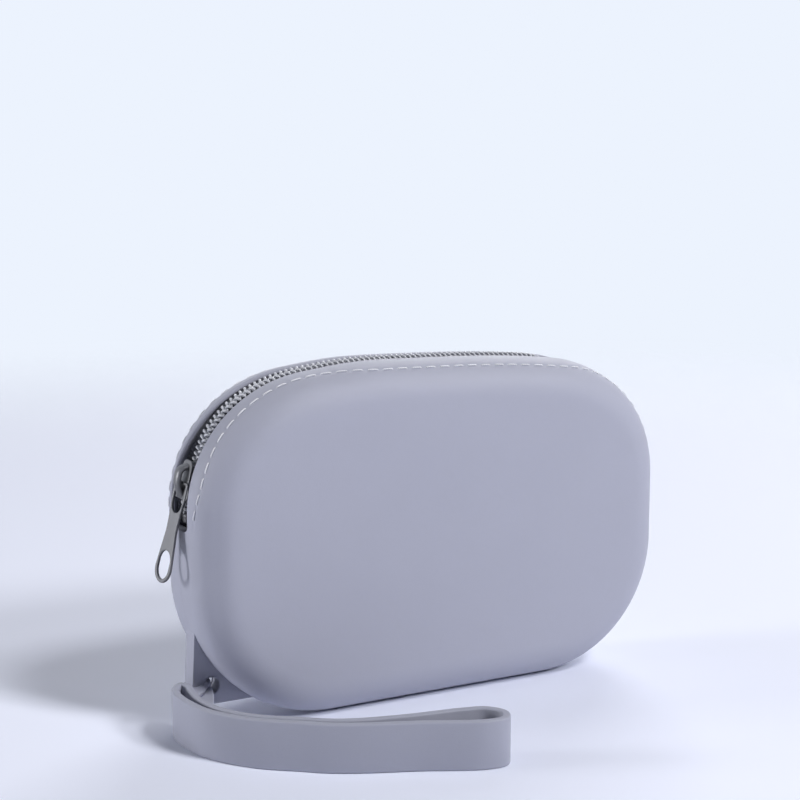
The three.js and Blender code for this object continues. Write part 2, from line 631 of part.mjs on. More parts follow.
strapGroup.position.set(lugLeft + LUG_BAR / 2, 0, 0);
root.add(strapGroup);
addPiece(strapGroup, 'wrist_strap', geometryOf(bandSolid().add(neckSolid())), SILICONE);

export default root;
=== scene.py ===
import bpy
import numpy as np
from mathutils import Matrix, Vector


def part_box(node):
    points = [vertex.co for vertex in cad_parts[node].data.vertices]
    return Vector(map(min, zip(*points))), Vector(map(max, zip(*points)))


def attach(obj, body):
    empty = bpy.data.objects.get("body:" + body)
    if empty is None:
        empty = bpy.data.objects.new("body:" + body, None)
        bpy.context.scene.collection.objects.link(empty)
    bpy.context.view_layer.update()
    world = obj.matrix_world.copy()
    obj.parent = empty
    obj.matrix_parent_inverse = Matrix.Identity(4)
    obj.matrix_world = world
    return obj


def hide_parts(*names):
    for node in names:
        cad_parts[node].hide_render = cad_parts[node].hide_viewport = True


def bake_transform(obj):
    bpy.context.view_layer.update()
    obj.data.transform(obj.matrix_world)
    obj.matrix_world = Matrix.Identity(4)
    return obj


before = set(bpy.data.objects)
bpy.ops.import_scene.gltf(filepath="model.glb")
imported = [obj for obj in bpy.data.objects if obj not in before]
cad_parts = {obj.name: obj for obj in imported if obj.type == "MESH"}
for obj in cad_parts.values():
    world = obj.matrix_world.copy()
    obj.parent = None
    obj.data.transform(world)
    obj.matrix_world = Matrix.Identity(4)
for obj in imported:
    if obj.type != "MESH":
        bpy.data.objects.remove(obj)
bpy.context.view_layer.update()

# Camera
# It stands left of the pouch's front and a little above the zip, and looks slightly down,
# as the photograph was taken. Lengths in this file are in millimetres until a mesh is made.
MM = 0.001
CAMERA_AZIMUTH = -28.0
CAMERA_ELEVATION = 8.23
CAMERA_TARGET = np.array([-7.37, 0.0, 83.04])
CAMERA_DISTANCE = 421.9
CAMERA_LENS = 67.71


def direction(azimuth, elevation):
    """The way to a place so many degrees to the right of the front, and up from the floor."""
    turn, rise = np.radians([azimuth, elevation])
    return np.array([np.sin(turn) * np.cos(rise), -np.cos(turn) * np.cos(rise), np.sin(rise)])


camera_back = direction(CAMERA_AZIMUTH, CAMERA_ELEVATION)
camera = bpy.data.objects.new("camera", bpy.data.cameras.new("camera"))
camera.data.lens = CAMERA_LENS
camera.location = (CAMERA_TARGET + CAMERA_DISTANCE * camera_back) * MM
camera.rotation_euler = Vector(camera_back).to_track_quat("Z", "Y").to_euler()
bpy.context.scene.collection.objects.link(camera)
bpy.context.scene.camera = camera
bpy.context.scene.view_settings.view_transform = "Standard"


# Studio floor
# A round pale board that the pouch stands on. A thin sheet of haze over its border fades it into the
# backdrop, so that no horizon shows behind the pouch.
FLOOR_RADIUS = 1000.0
FLOOR_THICKNESS = 20.0
FLOOR_DROP = 0.02
FLOOR_RINGS = np.array([0.01, 0.1, 0.25, 0.5, 0.75, 1.0])
LATHE_STEPS = 96
FADE_FROM = 320.0
FADE_TO = 950.0
HAZE_LEVEL = 0.5
HAZE_RADIUS = 1010.0
FLOOR_COLOUR = (0.82, 0.85, 0.985, 1)
BACKDROP_COLOUR = (0.84, 0.895, 0.99, 1)


class Shade:
    """One socket of a material. Arithmetic on it adds Math nodes, and node() adds any other node."""

    def __init__(self, tree, socket=None):
        self.tree = tree
        self.socket = socket

    def node(self, kind, settings=None, inputs=None, output=0):
        """Adds a node: its settings first, then the values or links of its sockets."""
        made = self.tree.nodes.new("ShaderNode" + kind)
        for key, value in (settings or {}).items():
            setattr(made, key, value)
        for key, value in (inputs or {}).items():
            if isinstance(value, Shade):
                self.tree.links.new(value.socket, made.inputs[key])
            else:
                made.inputs[key].default_value = value
        return Shade(self.tree, made.outputs[output] if len(made.outputs) else None)

    def math(self, operation, first, second):
        """Adds one Math node."""
        return self.node("Math", {"operation": operation}, {0: first, 1: second})

    def __add__(self, other):
        return self.math("ADD", self, other)

    def __mul__(self, other):
        return self.math("MULTIPLY", self, other)

    __radd__ = __add__
    __rmul__ = __mul__

    def noise(self, scale, detail, **sockets):
        """Soft noise by this place, at a scale and with a depth of detail."""
        return self.node("TexNoise", None, {"Vector": self, "Scale": scale, "Detail": detail, **sockets})

    def bump(self, strength, distance):
        """The surface's normal under a relief of this height."""
        return self.node("Bump", None, {"Strength": strength, "Distance": distance, "Height": self})

    def mix(self, low, high):
        """A colour between two others, by this value."""
        return self.node("Mix", {"data_type": "RGBA"}, {0: self, 6: low, 7: high}, output=2)

    def finish(self, **sockets):
        """Ends the material with a Principled shader that has these sockets set or linked."""
        named = {key.replace("_", " "): value for key, value in sockets.items()}
        surface = self.node("BsdfPrincipled", None, named)
        self.node("OutputMaterial", None, {"Surface": surface})


def new_material(name):
    """A material with an empty tree, and the Shade that its nodes start from."""
    material = bpy.data.materials.new(name)
    material.use_nodes = True
    material.node_tree.nodes.clear()
    return material, Shade(material.node_tree)


def shell(rings, loop=False):
    """Points and faces of closed shells through rows of rings, as an array of (copies,) rows, places, xyz.

    Neighbouring rings are joined by quads. The first and last ring of a row are closed by a fan of triangles
    to the ring's middle, unless the row loops. The faces are turned to enclose a positive volume.
    """
    rings = rings[None] if rings.ndim == 3 else rings
    copies, rows, around = rings.shape[:3]
    spans = np.arange(rows if loop else rows - 1)[:, None]
    turn = np.arange(around)
    after = (turn + 1) % around
    here = spans * around
    there = (spans + 1) % rows * around
    quads = np.stack([here + turn, here + after, there + after, there + turn], -1).reshape(-1, 4)
    points = rings.reshape(copies, -1, 3)
    fans = np.zeros((0, 3), int)
    if not loop:
        middle = rows * around
        last = middle - around
        points = np.concatenate([points, rings[:, [0, -1]].mean(axis=2)], axis=1)
        fans = np.concatenate([
            np.stack([after, turn, np.full(around, middle)], -1),
            np.stack([last + turn, last + after, np.full(around, middle + 1)], -1)])
    corners = points[0][np.concatenate([quads[:, [0, 1, 2]], quads[:, [0, 2, 3]], fans])]
    volume = np.einsum("ij,ij->i", corners[:, 0], np.cross(corners[:, 1], corners[:, 2])).sum()
    if volume < 0:
        quads, fans = quads[:, ::-1], fans[:, ::-1]
    step = points.shape[1] * np.arange(copies)[:, None, None]
    return points.reshape(-1, 3), (quads + step).reshape(-1, 4), (fans + step).reshape(-1, 3)


def add_mesh(name, mesh, material, crease=None):
    """A smooth object of one mesh, at the origin. Edges sharper than the crease in degrees stay sharp."""
    mesh.polygons.foreach_set("use_smooth", np.ones(len(mesh.polygons), bool))
    if crease is not None:
        mesh.set_sharp_from_angle(angle=np.radians(crease))
    mesh.materials.clear()
    mesh.materials.append(material)
    mesh.update()
    piece = bpy.data.objects.new(name, mesh)
    bpy.context.scene.collection.objects.link(piece)
    return piece


def add_piece(name, shells, material, crease=None, along=None):
    """One object of several shells. along is a vector for each point, kept as an attribute of that name."""
    starts = np.cumsum([0] + [len(points) for points, _, _ in shells])
    points = np.concatenate([points for points, _, _ in shells]) * MM
    faces = []
    for start, (_, quads, fans) in zip(starts, shells):
        faces += (quads + start).tolist() + (fans + start).tolist()
    mesh = bpy.data.meshes.new(name)
    mesh.from_pydata(points.tolist(), [], faces)
    if along is not None:
        mesh.attributes.new("along", "FLOAT_VECTOR", "POINT").data.foreach_set("vector", along.ravel())
    return add_mesh(name, mesh, material, crease)


def circle(count):
    """Places round a circle of radius one."""
    angle = np.linspace(0, 2 * np.pi, count, endpoint=False)
    return np.stack([np.cos(angle), np.sin(angle)], -1)


def lathed(radius, height):
    """A profile of radii and heights turned round the vertical axis."""
    flat = radius[:, None, None] * circle(LATHE_STEPS)
    level = np.broadcast_to(height[:, None, None], flat.shape[:2] + (1,))
    return np.concatenate([flat, level], -1)


def floor_rings():
    """A flat board: its top from the middle out to the border, and its underside back again."""
    top = FLOOR_RADIUS * FLOOR_RINGS
    radius = np.concatenate([top, top[::-1]])
    height = np.repeat([0.0, -FLOOR_THICKNESS], len(top)) - FLOOR_DROP
    return lathed(radius, height)


def floor_material():
    """Pale matte paint with a faint mottle in its gloss."""
    material, shade = new_material("floor_paint")
    place = shade.node("TexCoord", output="Object")
    mottle = place.noise(scale=3.0, detail=2.0)
    shade.finish(Base_Color=FLOOR_COLOUR, Roughness=0.75 + 0.1 * mottle, Specular_IOR_Level=0.2)
    return material


def haze_rings():
    """A flat ring, thin as foil, from the haze's start to a little over the board's border."""
    radius = np.linspace(FADE_FROM, HAZE_RADIUS, 9)
    height = np.repeat([2 * HAZE_LEVEL, HAZE_LEVEL], len(radius))
    return np.swapaxes(lathed(np.concatenate([radius, radius[::-1]]), height), 0, 1)


def haze_material():
    """Clear at its inner border, and an even glow in the backdrop's colour at its outer one.

    Each of the foil's two faces lets through the root of what both let through together.
    """
    material, shade = new_material("border_haze")
    place = shade.node("TexCoord", output="Object")
    away = shade.node("VectorMath", {"operation": "LENGTH"}, {0: place}, output="Value")
    through = shade.node("MapRange", {"interpolation_type": "SMOOTHSTEP"}, {
        "Value": away, "From Min": FADE_TO * MM, "From Max": FADE_FROM * MM})
    clear = shade.node("BsdfTransparent")
    glow = shade.node("Emission", None, {"Color": BACKDROP_COLOUR})
    through = through.math("POWER", through, 0.5)
    surface = shade.node("MixShader", None, {0: through, 1: glow, 2: clear})
    shade.node("OutputMaterial", None, {"Surface": surface})
    return material


floor = add_piece("floor", [shell(floor_rings())], floor_material(), crease=30)
haze = add_piece("haze", [shell(haze_rings(), loop=True)], haze_material(), crease=30)
haze.visible_diffuse = False
haze.visible_shadow = False


# Backdrop
# A large pale paper dome all round the pouch, evenly lit. It shows behind the pouch and in its gloss, and
# leaves the lighting to the soft boxes and the sky.
DOME_RADIUS = 3000.0
DOME_STEPS = 34


def backdrop_rings():
    """A sphere, as circles between its two poles."""
    angle = np.linspace(-np.pi / 2, np.pi / 2, DOME_STEPS)[1:-1]
    return lathed(DOME_RADIUS * np.cos(angle), DOME_RADIUS * np.sin(angle))


def backdrop_material():
    """Paper that glows evenly in the backdrop's colour."""
    material, shade = new_material("backdrop_paper")
    glow = shade.node("Emission", None, {"Color": BACKDROP_COLOUR})
    shade.node("OutputMaterial", None, {"Surface": glow})
    return material


backdrop = add_piece("backdrop", [shell(backdrop_rings())], backdrop_material())
backdrop.visible_diffuse = False
backdrop.visible_shadow = False


# Studio light
# Four soft boxes round the pouch: a low one at the left, two at the right, one above the other, and a large
# one behind. Each is a plain area light, and a faint pale sky is over them. None of them shows in a picture.
SKY_COLOUR = (0.90, 0.94, 1.0, 1)
SKY_STRENGTH = 0.05
BOX_DISTANCE = 1700.0
LIGHT_TARGET = np.array([0.0, 0.0, 50.0])
# Degrees to the right of the camera and up from the floor, power in watts, and width
SOFT_BOXES = {
    "left_box": (-84.0, 9.0, 15.6, 450.0),
    "upper_right_box": (60.0, 50.0, 11.5, 300.0),
    "lower_right_box": (60.0, 32.0, 15.0, 300.0),
    "rear_box": (165.0, 35.0, 11.6, 800.0),
}

for name, (azimuth, elevation, watts, width) in SOFT_BOXES.items():
    away = direction(CAMERA_AZIMUTH + azimuth, elevation)
    light = bpy.data.lights.new(name, "AREA")
    light.shape = "SQUARE"
    light.size = width * MM
    light.energy = watts
    lamp = bpy.data.objects.new(name, light)
    lamp.location = (LIGHT_TARGET + BOX_DISTANCE * away) * MM
    lamp.rotation_euler = Vector(away).to_track_quat("Z", "Y").to_euler()
    lamp.visible_camera = False
    bpy.context.scene.collection.objects.link(lamp)

sky = bpy.data.worlds.new("sky")
sky.use_nodes = True
sky.node_tree.nodes["Background"].inputs["Color"].default_value = SKY_COLOUR
sky.node_tree.nodes["Background"].inputs["Strength"].default_value = SKY_STRENGTH
bpy.context.scene.world = sky


# Pouch moulding
# One soft silicone moulding with a flat base, a wide rounded edge and a slit over its top half for the zip.
# Front and rear skins meet in the mould's parting line below the slit.
HALF_WIDTH, HALF_DEPTH, POUCH_HEIGHT = np.array(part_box("pouch_body")[1]) / MM
WALL = 2.5
LIP_WALL = 1.3
TOP_CORNER_RADIUS = 36.0
TOP_CROWN_RADIUS = 462.0
BASE_CORNER_RADIUS = 38.6
MOUTH_DROP = 4.4
HALF_MOUTH = 5.3
HALF_RIM = 5.6
EDGE_REACH = 11.0
EDGE_FULLNESS = 2.2
SLIT_END = 2.0
SLIT_FULLNESS = 3.0
SLIDER_RISE = 9.2
SLIDER_RUN = MOUTH_DROP + SLIDER_RISE
SLIDER_REACH = 11.0
REAR_BULGE = 0.3
LIP_ROUND = 0.55
LIP_INNER_ROUND = 0.4
PARTING_ROUND = 0.06
SEAM_MARGIN = 5.0
SEAM_AT_END = 3.6
SEAM_DEPTH = 0.14
SEAM_WIDTH = 0.45
SEAM_SPREAD = 0.14
SEAM_SPREAD_SHARE = 0.8
FACE_CROWN = 0.5
FACE_HUB = 0.06
END_MARGIN = 3.0
END_GAP = 0.25
TOP_STEPS = 230
BASE_STEPS = 120
RIM_TURN = 7.6
RIM_SPACING = np.array([0.3, 0.6, 0.8, 0.92, 0.98, 1])
INSIDE_SPACING = np.array([0.1, 0.4, 1])
# Run, reach and height of each low bell by which the soft top leaves its true arc
TOP_BELLS = np.array([[73.0, 15.5, 0.9], [95.0, 28.0, 0.35], [150.0, 14.0, -0.6]])
SILICONE_DARK = (0.342, 0.350, 0.431, 1)
SILICONE_LIGHT = (0.370, 0.378, 0.463, 1)

outer_across = HALF_DEPTH - HALF_RIM
inner_across = outer_across - WALL
top_corner_x = HALF_WIDTH - TOP_CORNER_RADIUS
crown_z = POUCH_HEIGHT - TOP_CROWN_RADIUS
top_corner_z = crown_z + np.sqrt((TOP_CROWN_RADIUS - TOP_CORNER_RADIUS) ** 2 - top_corner_x ** 2)
crown_angle = np.arctan2(top_corner_z - crown_z, top_corner_x)
mouth_end_z = top_corner_z - MOUTH_DROP
base_corner_x = HALF_WIDTH - BASE_CORNER_RADIUS
# Each stretch of the outline: centre or start x and z, radius or 0 for a straight one, first normal, length
outline_stretches = np.array([
    [-HALF_WIDTH, mouth_end_z, 0, np.pi, MOUTH_DROP],
    [-top_corner_x, top_corner_z, TOP_CORNER_RADIUS, np.pi, TOP_CORNER_RADIUS * crown_angle],
    [0, crown_z, TOP_CROWN_RADIUS, np.pi - crown_angle, TOP_CROWN_RADIUS * (np.pi - 2 * crown_angle)],
    [top_corner_x, top_corner_z, TOP_CORNER_RADIUS, crown_angle, TOP_CORNER_RADIUS * crown_angle],
    [HALF_WIDTH, top_corner_z, 0, 0, top_corner_z - BASE_CORNER_RADIUS],
    [base_corner_x, BASE_CORNER_RADIUS, BASE_CORNER_RADIUS, 0, BASE_CORNER_RADIUS * np.pi / 2],
    [base_corner_x, 0, 0, -np.pi / 2, 2 * base_corner_x],
    [-base_corner_x, BASE_CORNER_RADIUS, BASE_CORNER_RADIUS, -np.pi / 2, BASE_CORNER_RADIUS * np.pi / 2],
    [-HALF_WIDTH, BASE_CORNER_RADIUS, 0, -np.pi, mouth_end_z - BASE_CORNER_RADIUS]])
stretch_ends = np.cumsum(outline_stretches[:, 4])
outline_length = stretch_ends[-1]
mouth_length = stretch_ends[3] + MOUTH_DROP
# First run, length and height of each smooth step of the seam's way from the lip
SEAM_STEPS = np.array([
    [0, 14, 1.9], [16, 14, -0.6], [58, 22, 2.1], [136, 18, -1.6], [mouth_length - 14, 14, -1.8]])


def outline_at(run):
    """x, z and the outward normal on the outline seen from the front, at a length run along it.

    It starts at the slit's left end and goes up over the top, down the right side and round the base. A round
    stretch turns its normal by length over radius, and a straight one goes on square to its normal.
    """
    run = np.mod(run, outline_length)
    part = np.searchsorted(stretch_ends, run, side="right").clip(max=len(stretch_ends) - 1)
    x, z, radius, first, length = np.moveaxis(outline_stretches[part], -1, 0)
    on = run - (stretch_ends[part] - length)
    normal = first - np.where(radius > 0, on / np.where(radius > 0, radius, 1), 0)
    straight = np.where(radius > 0, 0, on)
    nx, nz = np.cos(normal), np.sin(normal)
    return x + radius * nx + straight * nz, z + radius * nz - straight * nx, nx, nz


def settle(run):
    """How far the soft top stands over its true arc: bells about the middle, and a hollow at the right."""
    return sum(height * np.exp(-((run - middle) / reach) ** 2) for middle, reach, height in TOP_BELLS)


def sunk(run, y, sink):
    """Points at a length along the outline, a way across the depth, and sunk below the outline."""
    x, z, nx, nz = outline_at(run)
    sink = sink - settle(run)
    return np.stack(np.broadcast_arrays(x - nx * sink, y, z - nz * sink), -1)


def edge_across(turn, across):
    """Way across the depth on a rounded edge: sine of the turn to the power of two over the fullness."""
    return HALF_RIM + across * np.sin(turn) ** (2 / EDGE_FULLNESS)


def edge_turn(y, across):
    """The turn at which a rounded edge is a given way across the depth."""
    return np.arcsin(np.clip((y - HALF_RIM) / across, 0, 1) ** (EDGE_FULLNESS / 2))


def edge_sink(turn, into):
    """Depth below the outline on a rounded edge: the matching power of the cosine, taken from one."""
    return into * (1 - np.abs(np.cos(turn)) ** (2 / EDGE_FULLNESS))


def eased(share):
    """Smooth step from 0 to 1: three times the square less twice the cube."""
    share = np.clip(share, 0, 1)
    return share ** 2 * (3 - 2 * share)


def stepped(run, steps):
    """Sum of smooth steps, each given by its first run, its length and its height."""
    return sum(height * eased((run - first) / length) for first, length, height in steps)


def seam_y(run):
    """Way of the seam from the middle: close to the lip at the slit's ends, further off over the crown."""
    return HALF_MOUTH + SEAM_AT_END + stepped(run, SEAM_STEPS)


def slit_half(run):
    """Half width of the slit: a superellipse over its last millimetres at each end, and level between."""
    share = np.clip(np.minimum(run, mouth_length - run) / SLIT_END, 0, 1)
    return HALF_MOUTH * (1 - (1 - share) ** SLIT_FULLNESS) ** (1 / SLIT_FULLNESS)


def lip_wall(run):
    """Thickness of the wall at the slit: thin along the lips, and the full wall at the slit's ends."""
    return WALL + (LIP_WALL - WALL) * slit_half(run) / HALF_MOUTH


def skin_runs():
    """Lengths along the outline: close together at the slit's ends, where they follow the superellipse."""
    turn = np.linspace(0, np.pi / 2, 16)
    end = SLIT_END * (1 - np.cos(turn) ** (2 / SLIT_FULLNESS))
    end[-1] = SLIT_END
    near = np.concatenate([np.linspace(-END_MARGIN, -END_GAP, 8), end])
    top = np.linspace(SLIT_END, mouth_length - SLIT_END, TOP_STEPS)[1:-1]
    below = np.linspace(mouth_length + END_MARGIN, outline_length - END_MARGIN, BASE_STEPS)[1:-1]
    return np.concatenate([near, top, mouth_length - near[::-1], below])


def quarter_round(count):
    """One less the sine, and one less the cosine, of angles over a quarter turn."""
    angle = np.linspace(0, np.pi / 2, count)
    return 1 - np.sin(angle), 1 - np.cos(angle)


def skin_rings(bulge):
    """One skin as rings round the outline, from its outer face's middle over the lip to its inner face's.

    Across the depth it follows the outer edge's superellipse to the lip, a quarter circle over it, the slit's
    wall, and the inner edge back. Both faces are rings drawn in to the middle, with a crown of (1 - r^2)^2.
    """
    run = skin_runs()
    half = slit_half(run) * (1 + bulge * np.exp(-((run - SLIDER_RUN) / SLIDER_REACH) ** 2))
    lip = PARTING_ROUND + (LIP_ROUND - PARTING_ROUND) * half / HALF_MOUTH
    inner_lip = PARTING_ROUND + (LIP_INNER_ROUND - PARTING_ROUND) * half / HALF_MOUTH
    in_mouth = np.clip(np.minimum(run, mouth_length - run) / SLIT_END, 0, 1)

    seam_turn = edge_turn(seam_y(run), outer_across)
    rim_turn = edge_turn(RIM_TURN, outer_across)
    seam_spread = np.minimum(SEAM_SPREAD, SEAM_SPREAD_SHARE * (seam_turn - rim_turn))
    turn = np.concatenate([
        np.linspace(np.pi / 2, seam_turn + seam_spread, 14)[:-1],
        np.linspace(seam_turn + seam_spread, seam_turn - seam_spread, 13),
        np.linspace(seam_turn - seam_spread, rim_turn, 4)[1:]])
    edge_y = edge_across(turn, outer_across)
    groove = SEAM_DEPTH * np.exp(-((edge_y - seam_y(run)) / SEAM_WIDTH) ** 2) * in_mouth
    edge = sunk(run, edge_y, edge_sink(turn, EDGE_REACH) + groove)

    rim_y = RIM_TURN + (half + lip - RIM_TURN) * RIM_SPACING[:, None]
    rim = sunk(run, rim_y, edge_sink(edge_turn(rim_y, outer_across), EDGE_REACH))

    inward, down = quarter_round(7)
    over = sunk(run, half + lip * inward[1:, None], lip * down[1:, None])
    share = np.linspace(0, 1, 4)[1:, None]
    thin = lip_wall(run)
    wall = sunk(run, half, lip + (thin - inner_lip - lip) * share)
    up, outward = quarter_round(5)
    under = sunk(run, half + inner_lip * outward[1:, None], thin - inner_lip * up[1:, None])

    share = INSIDE_SPACING[:, None]
    inside_y = half + inner_lip + (RIM_TURN - half - inner_lip) * share
    inside_turn = edge_turn(inside_y, inner_across)
    inside_sink = thin + (WALL - thin) * share + edge_sink(inside_turn, EDGE_REACH - WALL)
    inside_rim = sunk(run, inside_y, inside_sink)
    turn = np.linspace(edge_turn(RIM_TURN, inner_across), np.pi / 2, 10)[1:, None]
    inside = sunk(run, edge_across(turn, inner_across), WALL + edge_sink(turn, EDGE_REACH - WALL))

    draw = np.linspace(FACE_HUB, 1, 12)[:-1, None, None]
    crown = FACE_CROWN * (1 - draw ** 2) ** 2 * [0, 1, 0]

    def face(border):
        """Rings from near the middle out to a border."""
        centre = np.array([0, border[0, 1], POUCH_HEIGHT / 2])
        return centre + (border - centre) * draw - crown

    return np.concatenate([
        face(edge[0]), edge, rim, over, wall, under, inside_rim, inside, face(inside[-1])[::-1]])


def silicone_material(name, dark, light):
    """Matte silicone: faint clouds in the colour, and a fine moulded grain."""
    material, shade = new_material(name)
    place = shade.node("TexCoord", output="Object")
    cloud = place.noise(scale=45.0, detail=3.0, Roughness=0.6)
    speck = place.noise(scale=900.0, detail=2.0)
    grain = place.noise(scale=3200.0, detail=3.0)
    tone = 0.75 * cloud + 0.25 * speck
    relief = grain + 0.4 * speck
    shade.finish(
        Base_Color=tone.mix(dark, light), Roughness=0.5 + 0.14 * cloud + 0.06 * grain,
        Normal=relief.bump(strength=0.18, distance=0.00012),
        Specular_IOR_Level=0.42, Sheen_Weight=0.12, Sheen_Roughness=0.5)
    return material


pouch_silicone = silicone_material("pouch_silicone_matte", SILICONE_DARK, SILICONE_LIGHT)


def fix_to_half(piece, half, node):
    """Leaves a piece of the front half fixed where it stands, or carries a piece of the rear half with the
    pouch, and hides the part it stands for.
    """
    if half == "front":
        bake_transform(piece)
    else:
        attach(piece, "pouch")
    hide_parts(node)


for half, side, bulge, node in (("front", -1, 0.0, "front_flap"), ("rear", 1, REAR_BULGE, "pouch_body")):
    skin = add_piece(half + "_skin", [shell(skin_rings(bulge) * [1, side, 1])], pouch_silicone, crease=50)
    fix_to_half(skin, half, node)


# Corner lug
# A flat web of the same moulding that fills the lower left corner out to a square one.
# It has a round hole for the strap, and softly rounded edges.
LUG_LEFT = -HALF_WIDTH + 1.3
LUG_LEAN = np.radians(3.0)
LUG_FOOT = 5.0
LUG_HALF = 3.05
LUG_EDGE = 0.3
LUG_SQUARENESS = 14.0
HOLE_X = -HALF_WIDTH + 6.9
HOLE_Z = LUG_FOOT + 5.1
HOLE_RADIUS = 2.3
LUG_BITE = 1.0
LUG_ROOT = BASE_CORNER_RADIUS - LUG_BITE
LUG_STEPS = 180


def lug_rings():
    """Sections round the hole. Each is a rounded rectangle from the hole out to the lug's border.

    The border along a ray from the hole's middle is the nearest of the left edge, the foot and a circle
    inside the pouch's wall. The two edges are joined by a high power mean, which rounds the corner.
    """
    ray_x, ray_z = circle(LUG_STEPS).T
    far = 1e3
    least = 1e-3

    def to_edge(normal_x, normal_z, edge_x, edge_z):
        """Length of each ray to a straight edge through a point, or a far one where it goes the other way."""
        facing = ray_x * normal_x + ray_z * normal_z
        distance = (edge_x - HOLE_X) * normal_x + (edge_z - HOLE_Z) * normal_z
        return np.where(facing > least, distance / np.maximum(facing, least), far)

    to_left = to_edge(-np.cos(LUG_LEAN), np.sin(LUG_LEAN), LUG_LEFT, LUG_FOOT)
    to_foot = to_edge(0.0, -1.0, HOLE_X, LUG_FOOT)
    edges = (to_left ** -LUG_SQUARENESS + to_foot ** -LUG_SQUARENESS) ** (-1 / LUG_SQUARENESS)
    off_x, off_z = HOLE_X + base_corner_x, HOLE_Z - BASE_CORNER_RADIUS
    toward = ray_x * off_x + ray_z * off_z
    room = toward ** 2 - (off_x ** 2 + off_z ** 2 - LUG_ROOT ** 2)
    to_root = np.where((room > 0) & (toward < 0), -toward - np.sqrt(np.maximum(room, 0)), far)
    border = np.minimum(edges, to_root)[:, None]

    corner, level = (LUG_EDGE * inset for inset in quarter_round(5))
    outer = border - np.concatenate([level[::-1], level])
    outer_y = np.concatenate([LUG_HALF - corner[::-1], corner - LUG_HALF])
    inner = HOLE_RADIUS + np.concatenate([level, level[::-1]])
    inner_y = np.concatenate([corner - LUG_HALF, LUG_HALF - corner[::-1]])
    radius = np.concatenate([outer, np.broadcast_to(inner, (LUG_STEPS, len(inner)))], axis=1)
    y = np.broadcast_to(np.concatenate([outer_y, inner_y]), radius.shape)
    return np.stack([HOLE_X + radius * ray_x[:, None], y, HOLE_Z + radius * ray_z[:, None]], -1)


lug = add_piece("corner_lug", [shell(lug_rings(), loop=True)], pouch_silicone, crease=50)
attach(lug, "pouch")


# Zip tapes
# Two woven polyester tapes, sewn flat under the lips. Their inner edges carry the coils, and part ahead of
# the slider with them.
ROW_MIDDLE = 1.35
ROW_PART = 1.2
PART_TO = SLIDER_RUN - 4.5
PART_FROM = SLIDER_RUN - 0.5
COIL_SINK = 1.3
COIL_HALF_HEIGHT = 1.0
END_DROP = 0.8
END_DROP_FROM = 2.0
END_DROP_OVER = 6.0
# First run, length and height of each smooth step of the chain on its way over the crown
CHAIN_RISES = np.array([[19, 10, 1.0], [28, 14, 0.4], [46, 20, 0.3], [70, 45, 0.2], [131, 12, -1.9]])
TAPE_UNDER = 0.25
TAPE_THICKNESS = 0.6
TAPE_BITE = 0.45
TAPE_TAIL = 8.0
TAPE_BEND = 4.8
TAPE_GAP = 0.25
TAPE_MARGIN = 2.3
TAPE_STEPS = 260
TWILL_ANGLE = np.radians(55)
# Both tape colours are darkened below the fabric's own grey to paint the shade inside the slit; ribs and fuzz
# vary between them.
TAPE_PAINTED_SHADE_DARK = (0.075, 0.077, 0.094, 1)
TAPE_PAINTED_SHADE_LIGHT = (0.135, 0.138, 0.165, 1)
# The side of the zip's middle that each half lies on
ZIP_HALVES = {"front": -1, "rear": 1}


def row_middle(run):
    """Middle of a coil row from the middle of the zip: the rows part evenly ahead of the slider."""
    return ROW_MIDDLE + ROW_PART * np.clip((PART_FROM - run) / (PART_FROM - PART_TO), 0, 1)


def chain_sink(run):
    """Depth of the chain's top below the lips: most at both ends, and below zero over the crown.

    It starts from an even depth and goes up in smooth steps, and the last one takes it down again where the
    chain dips into the right corner.
    """
    inside = np.minimum(run, mouth_length - run)
    drop = END_DROP * (1 - eased((inside - END_DROP_FROM) / END_DROP_OVER))
    return COIL_SINK + drop - stepped(run, CHAIN_RISES)


def tape_rings(side):
    """A band along the mouth: level under the coil, steep up to the lip, then down close under the wall."""
    run = np.linspace(-TAPE_TAIL, mouth_length + TAPE_TAIL, TAPE_STEPS)[:, None]
    first = edge_turn(HALF_MOUTH + SEAM_MARGIN, inner_across)
    turn = np.concatenate([
        [edge_turn(RIM_TURN, inner_across)], np.linspace(first, first + TAPE_MARGIN / inner_across, 4)])
    under_y = np.broadcast_to(edge_across(turn, inner_across), (len(run), len(turn)))
    under_sink = np.broadcast_to(WALL + edge_sink(turn, EDGE_REACH - WALL) + TAPE_GAP, under_y.shape)
    inner = row_middle(run) - TAPE_BITE
    level = chain_sink(run) + 2 * COIL_HALF_HEIGHT + TAPE_UNDER
    flat = np.ones_like(run)
    y = np.concatenate([inner, TAPE_BEND * flat, HALF_MOUTH * flat, under_y], axis=1)
    sink = np.concatenate([level, level, lip_wall(run) + TAPE_GAP, under_sink], axis=1)
    y = np.concatenate([y, y[:, ::-1]], axis=1)
    sink = np.concatenate([sink, sink[:, ::-1] + TAPE_THICKNESS], axis=1)
    return sunk(run, side * y, sink), run


def tape_material():
    """Fine twill: slanting ribs, laid out by the tape's own length and width, in colours darkened to paint
    the shade inside the slit.
    """
    material, shade = new_material("woven_tape")
    place = shade.node("Attribute", {"attribute_name": "along"}, output="Vector")
    turned = shade.node("Mapping", None, {"Vector": place, "Rotation": (0, 0, TWILL_ANGLE)})
    rib = shade.node("TexWave", {"bands_direction": "X"}, {
        "Vector": turned, "Scale": 0.55, "Distortion": 0.6})
    fuzz = place.noise(scale=4.0, detail=3.0)
    relief = rib + 0.5 * fuzz
    shade.finish(
        Base_Color=(0.6 * rib + 0.4 * fuzz).mix(TAPE_PAINTED_SHADE_DARK, TAPE_PAINTED_SHADE_LIGHT), Roughness=0.8 + 0.15 * fuzz,
        Normal=relief.bump(strength=0.6, distance=0.0002), Specular_IOR_Level=0.25, Sheen_Weight=0.2)
    return material


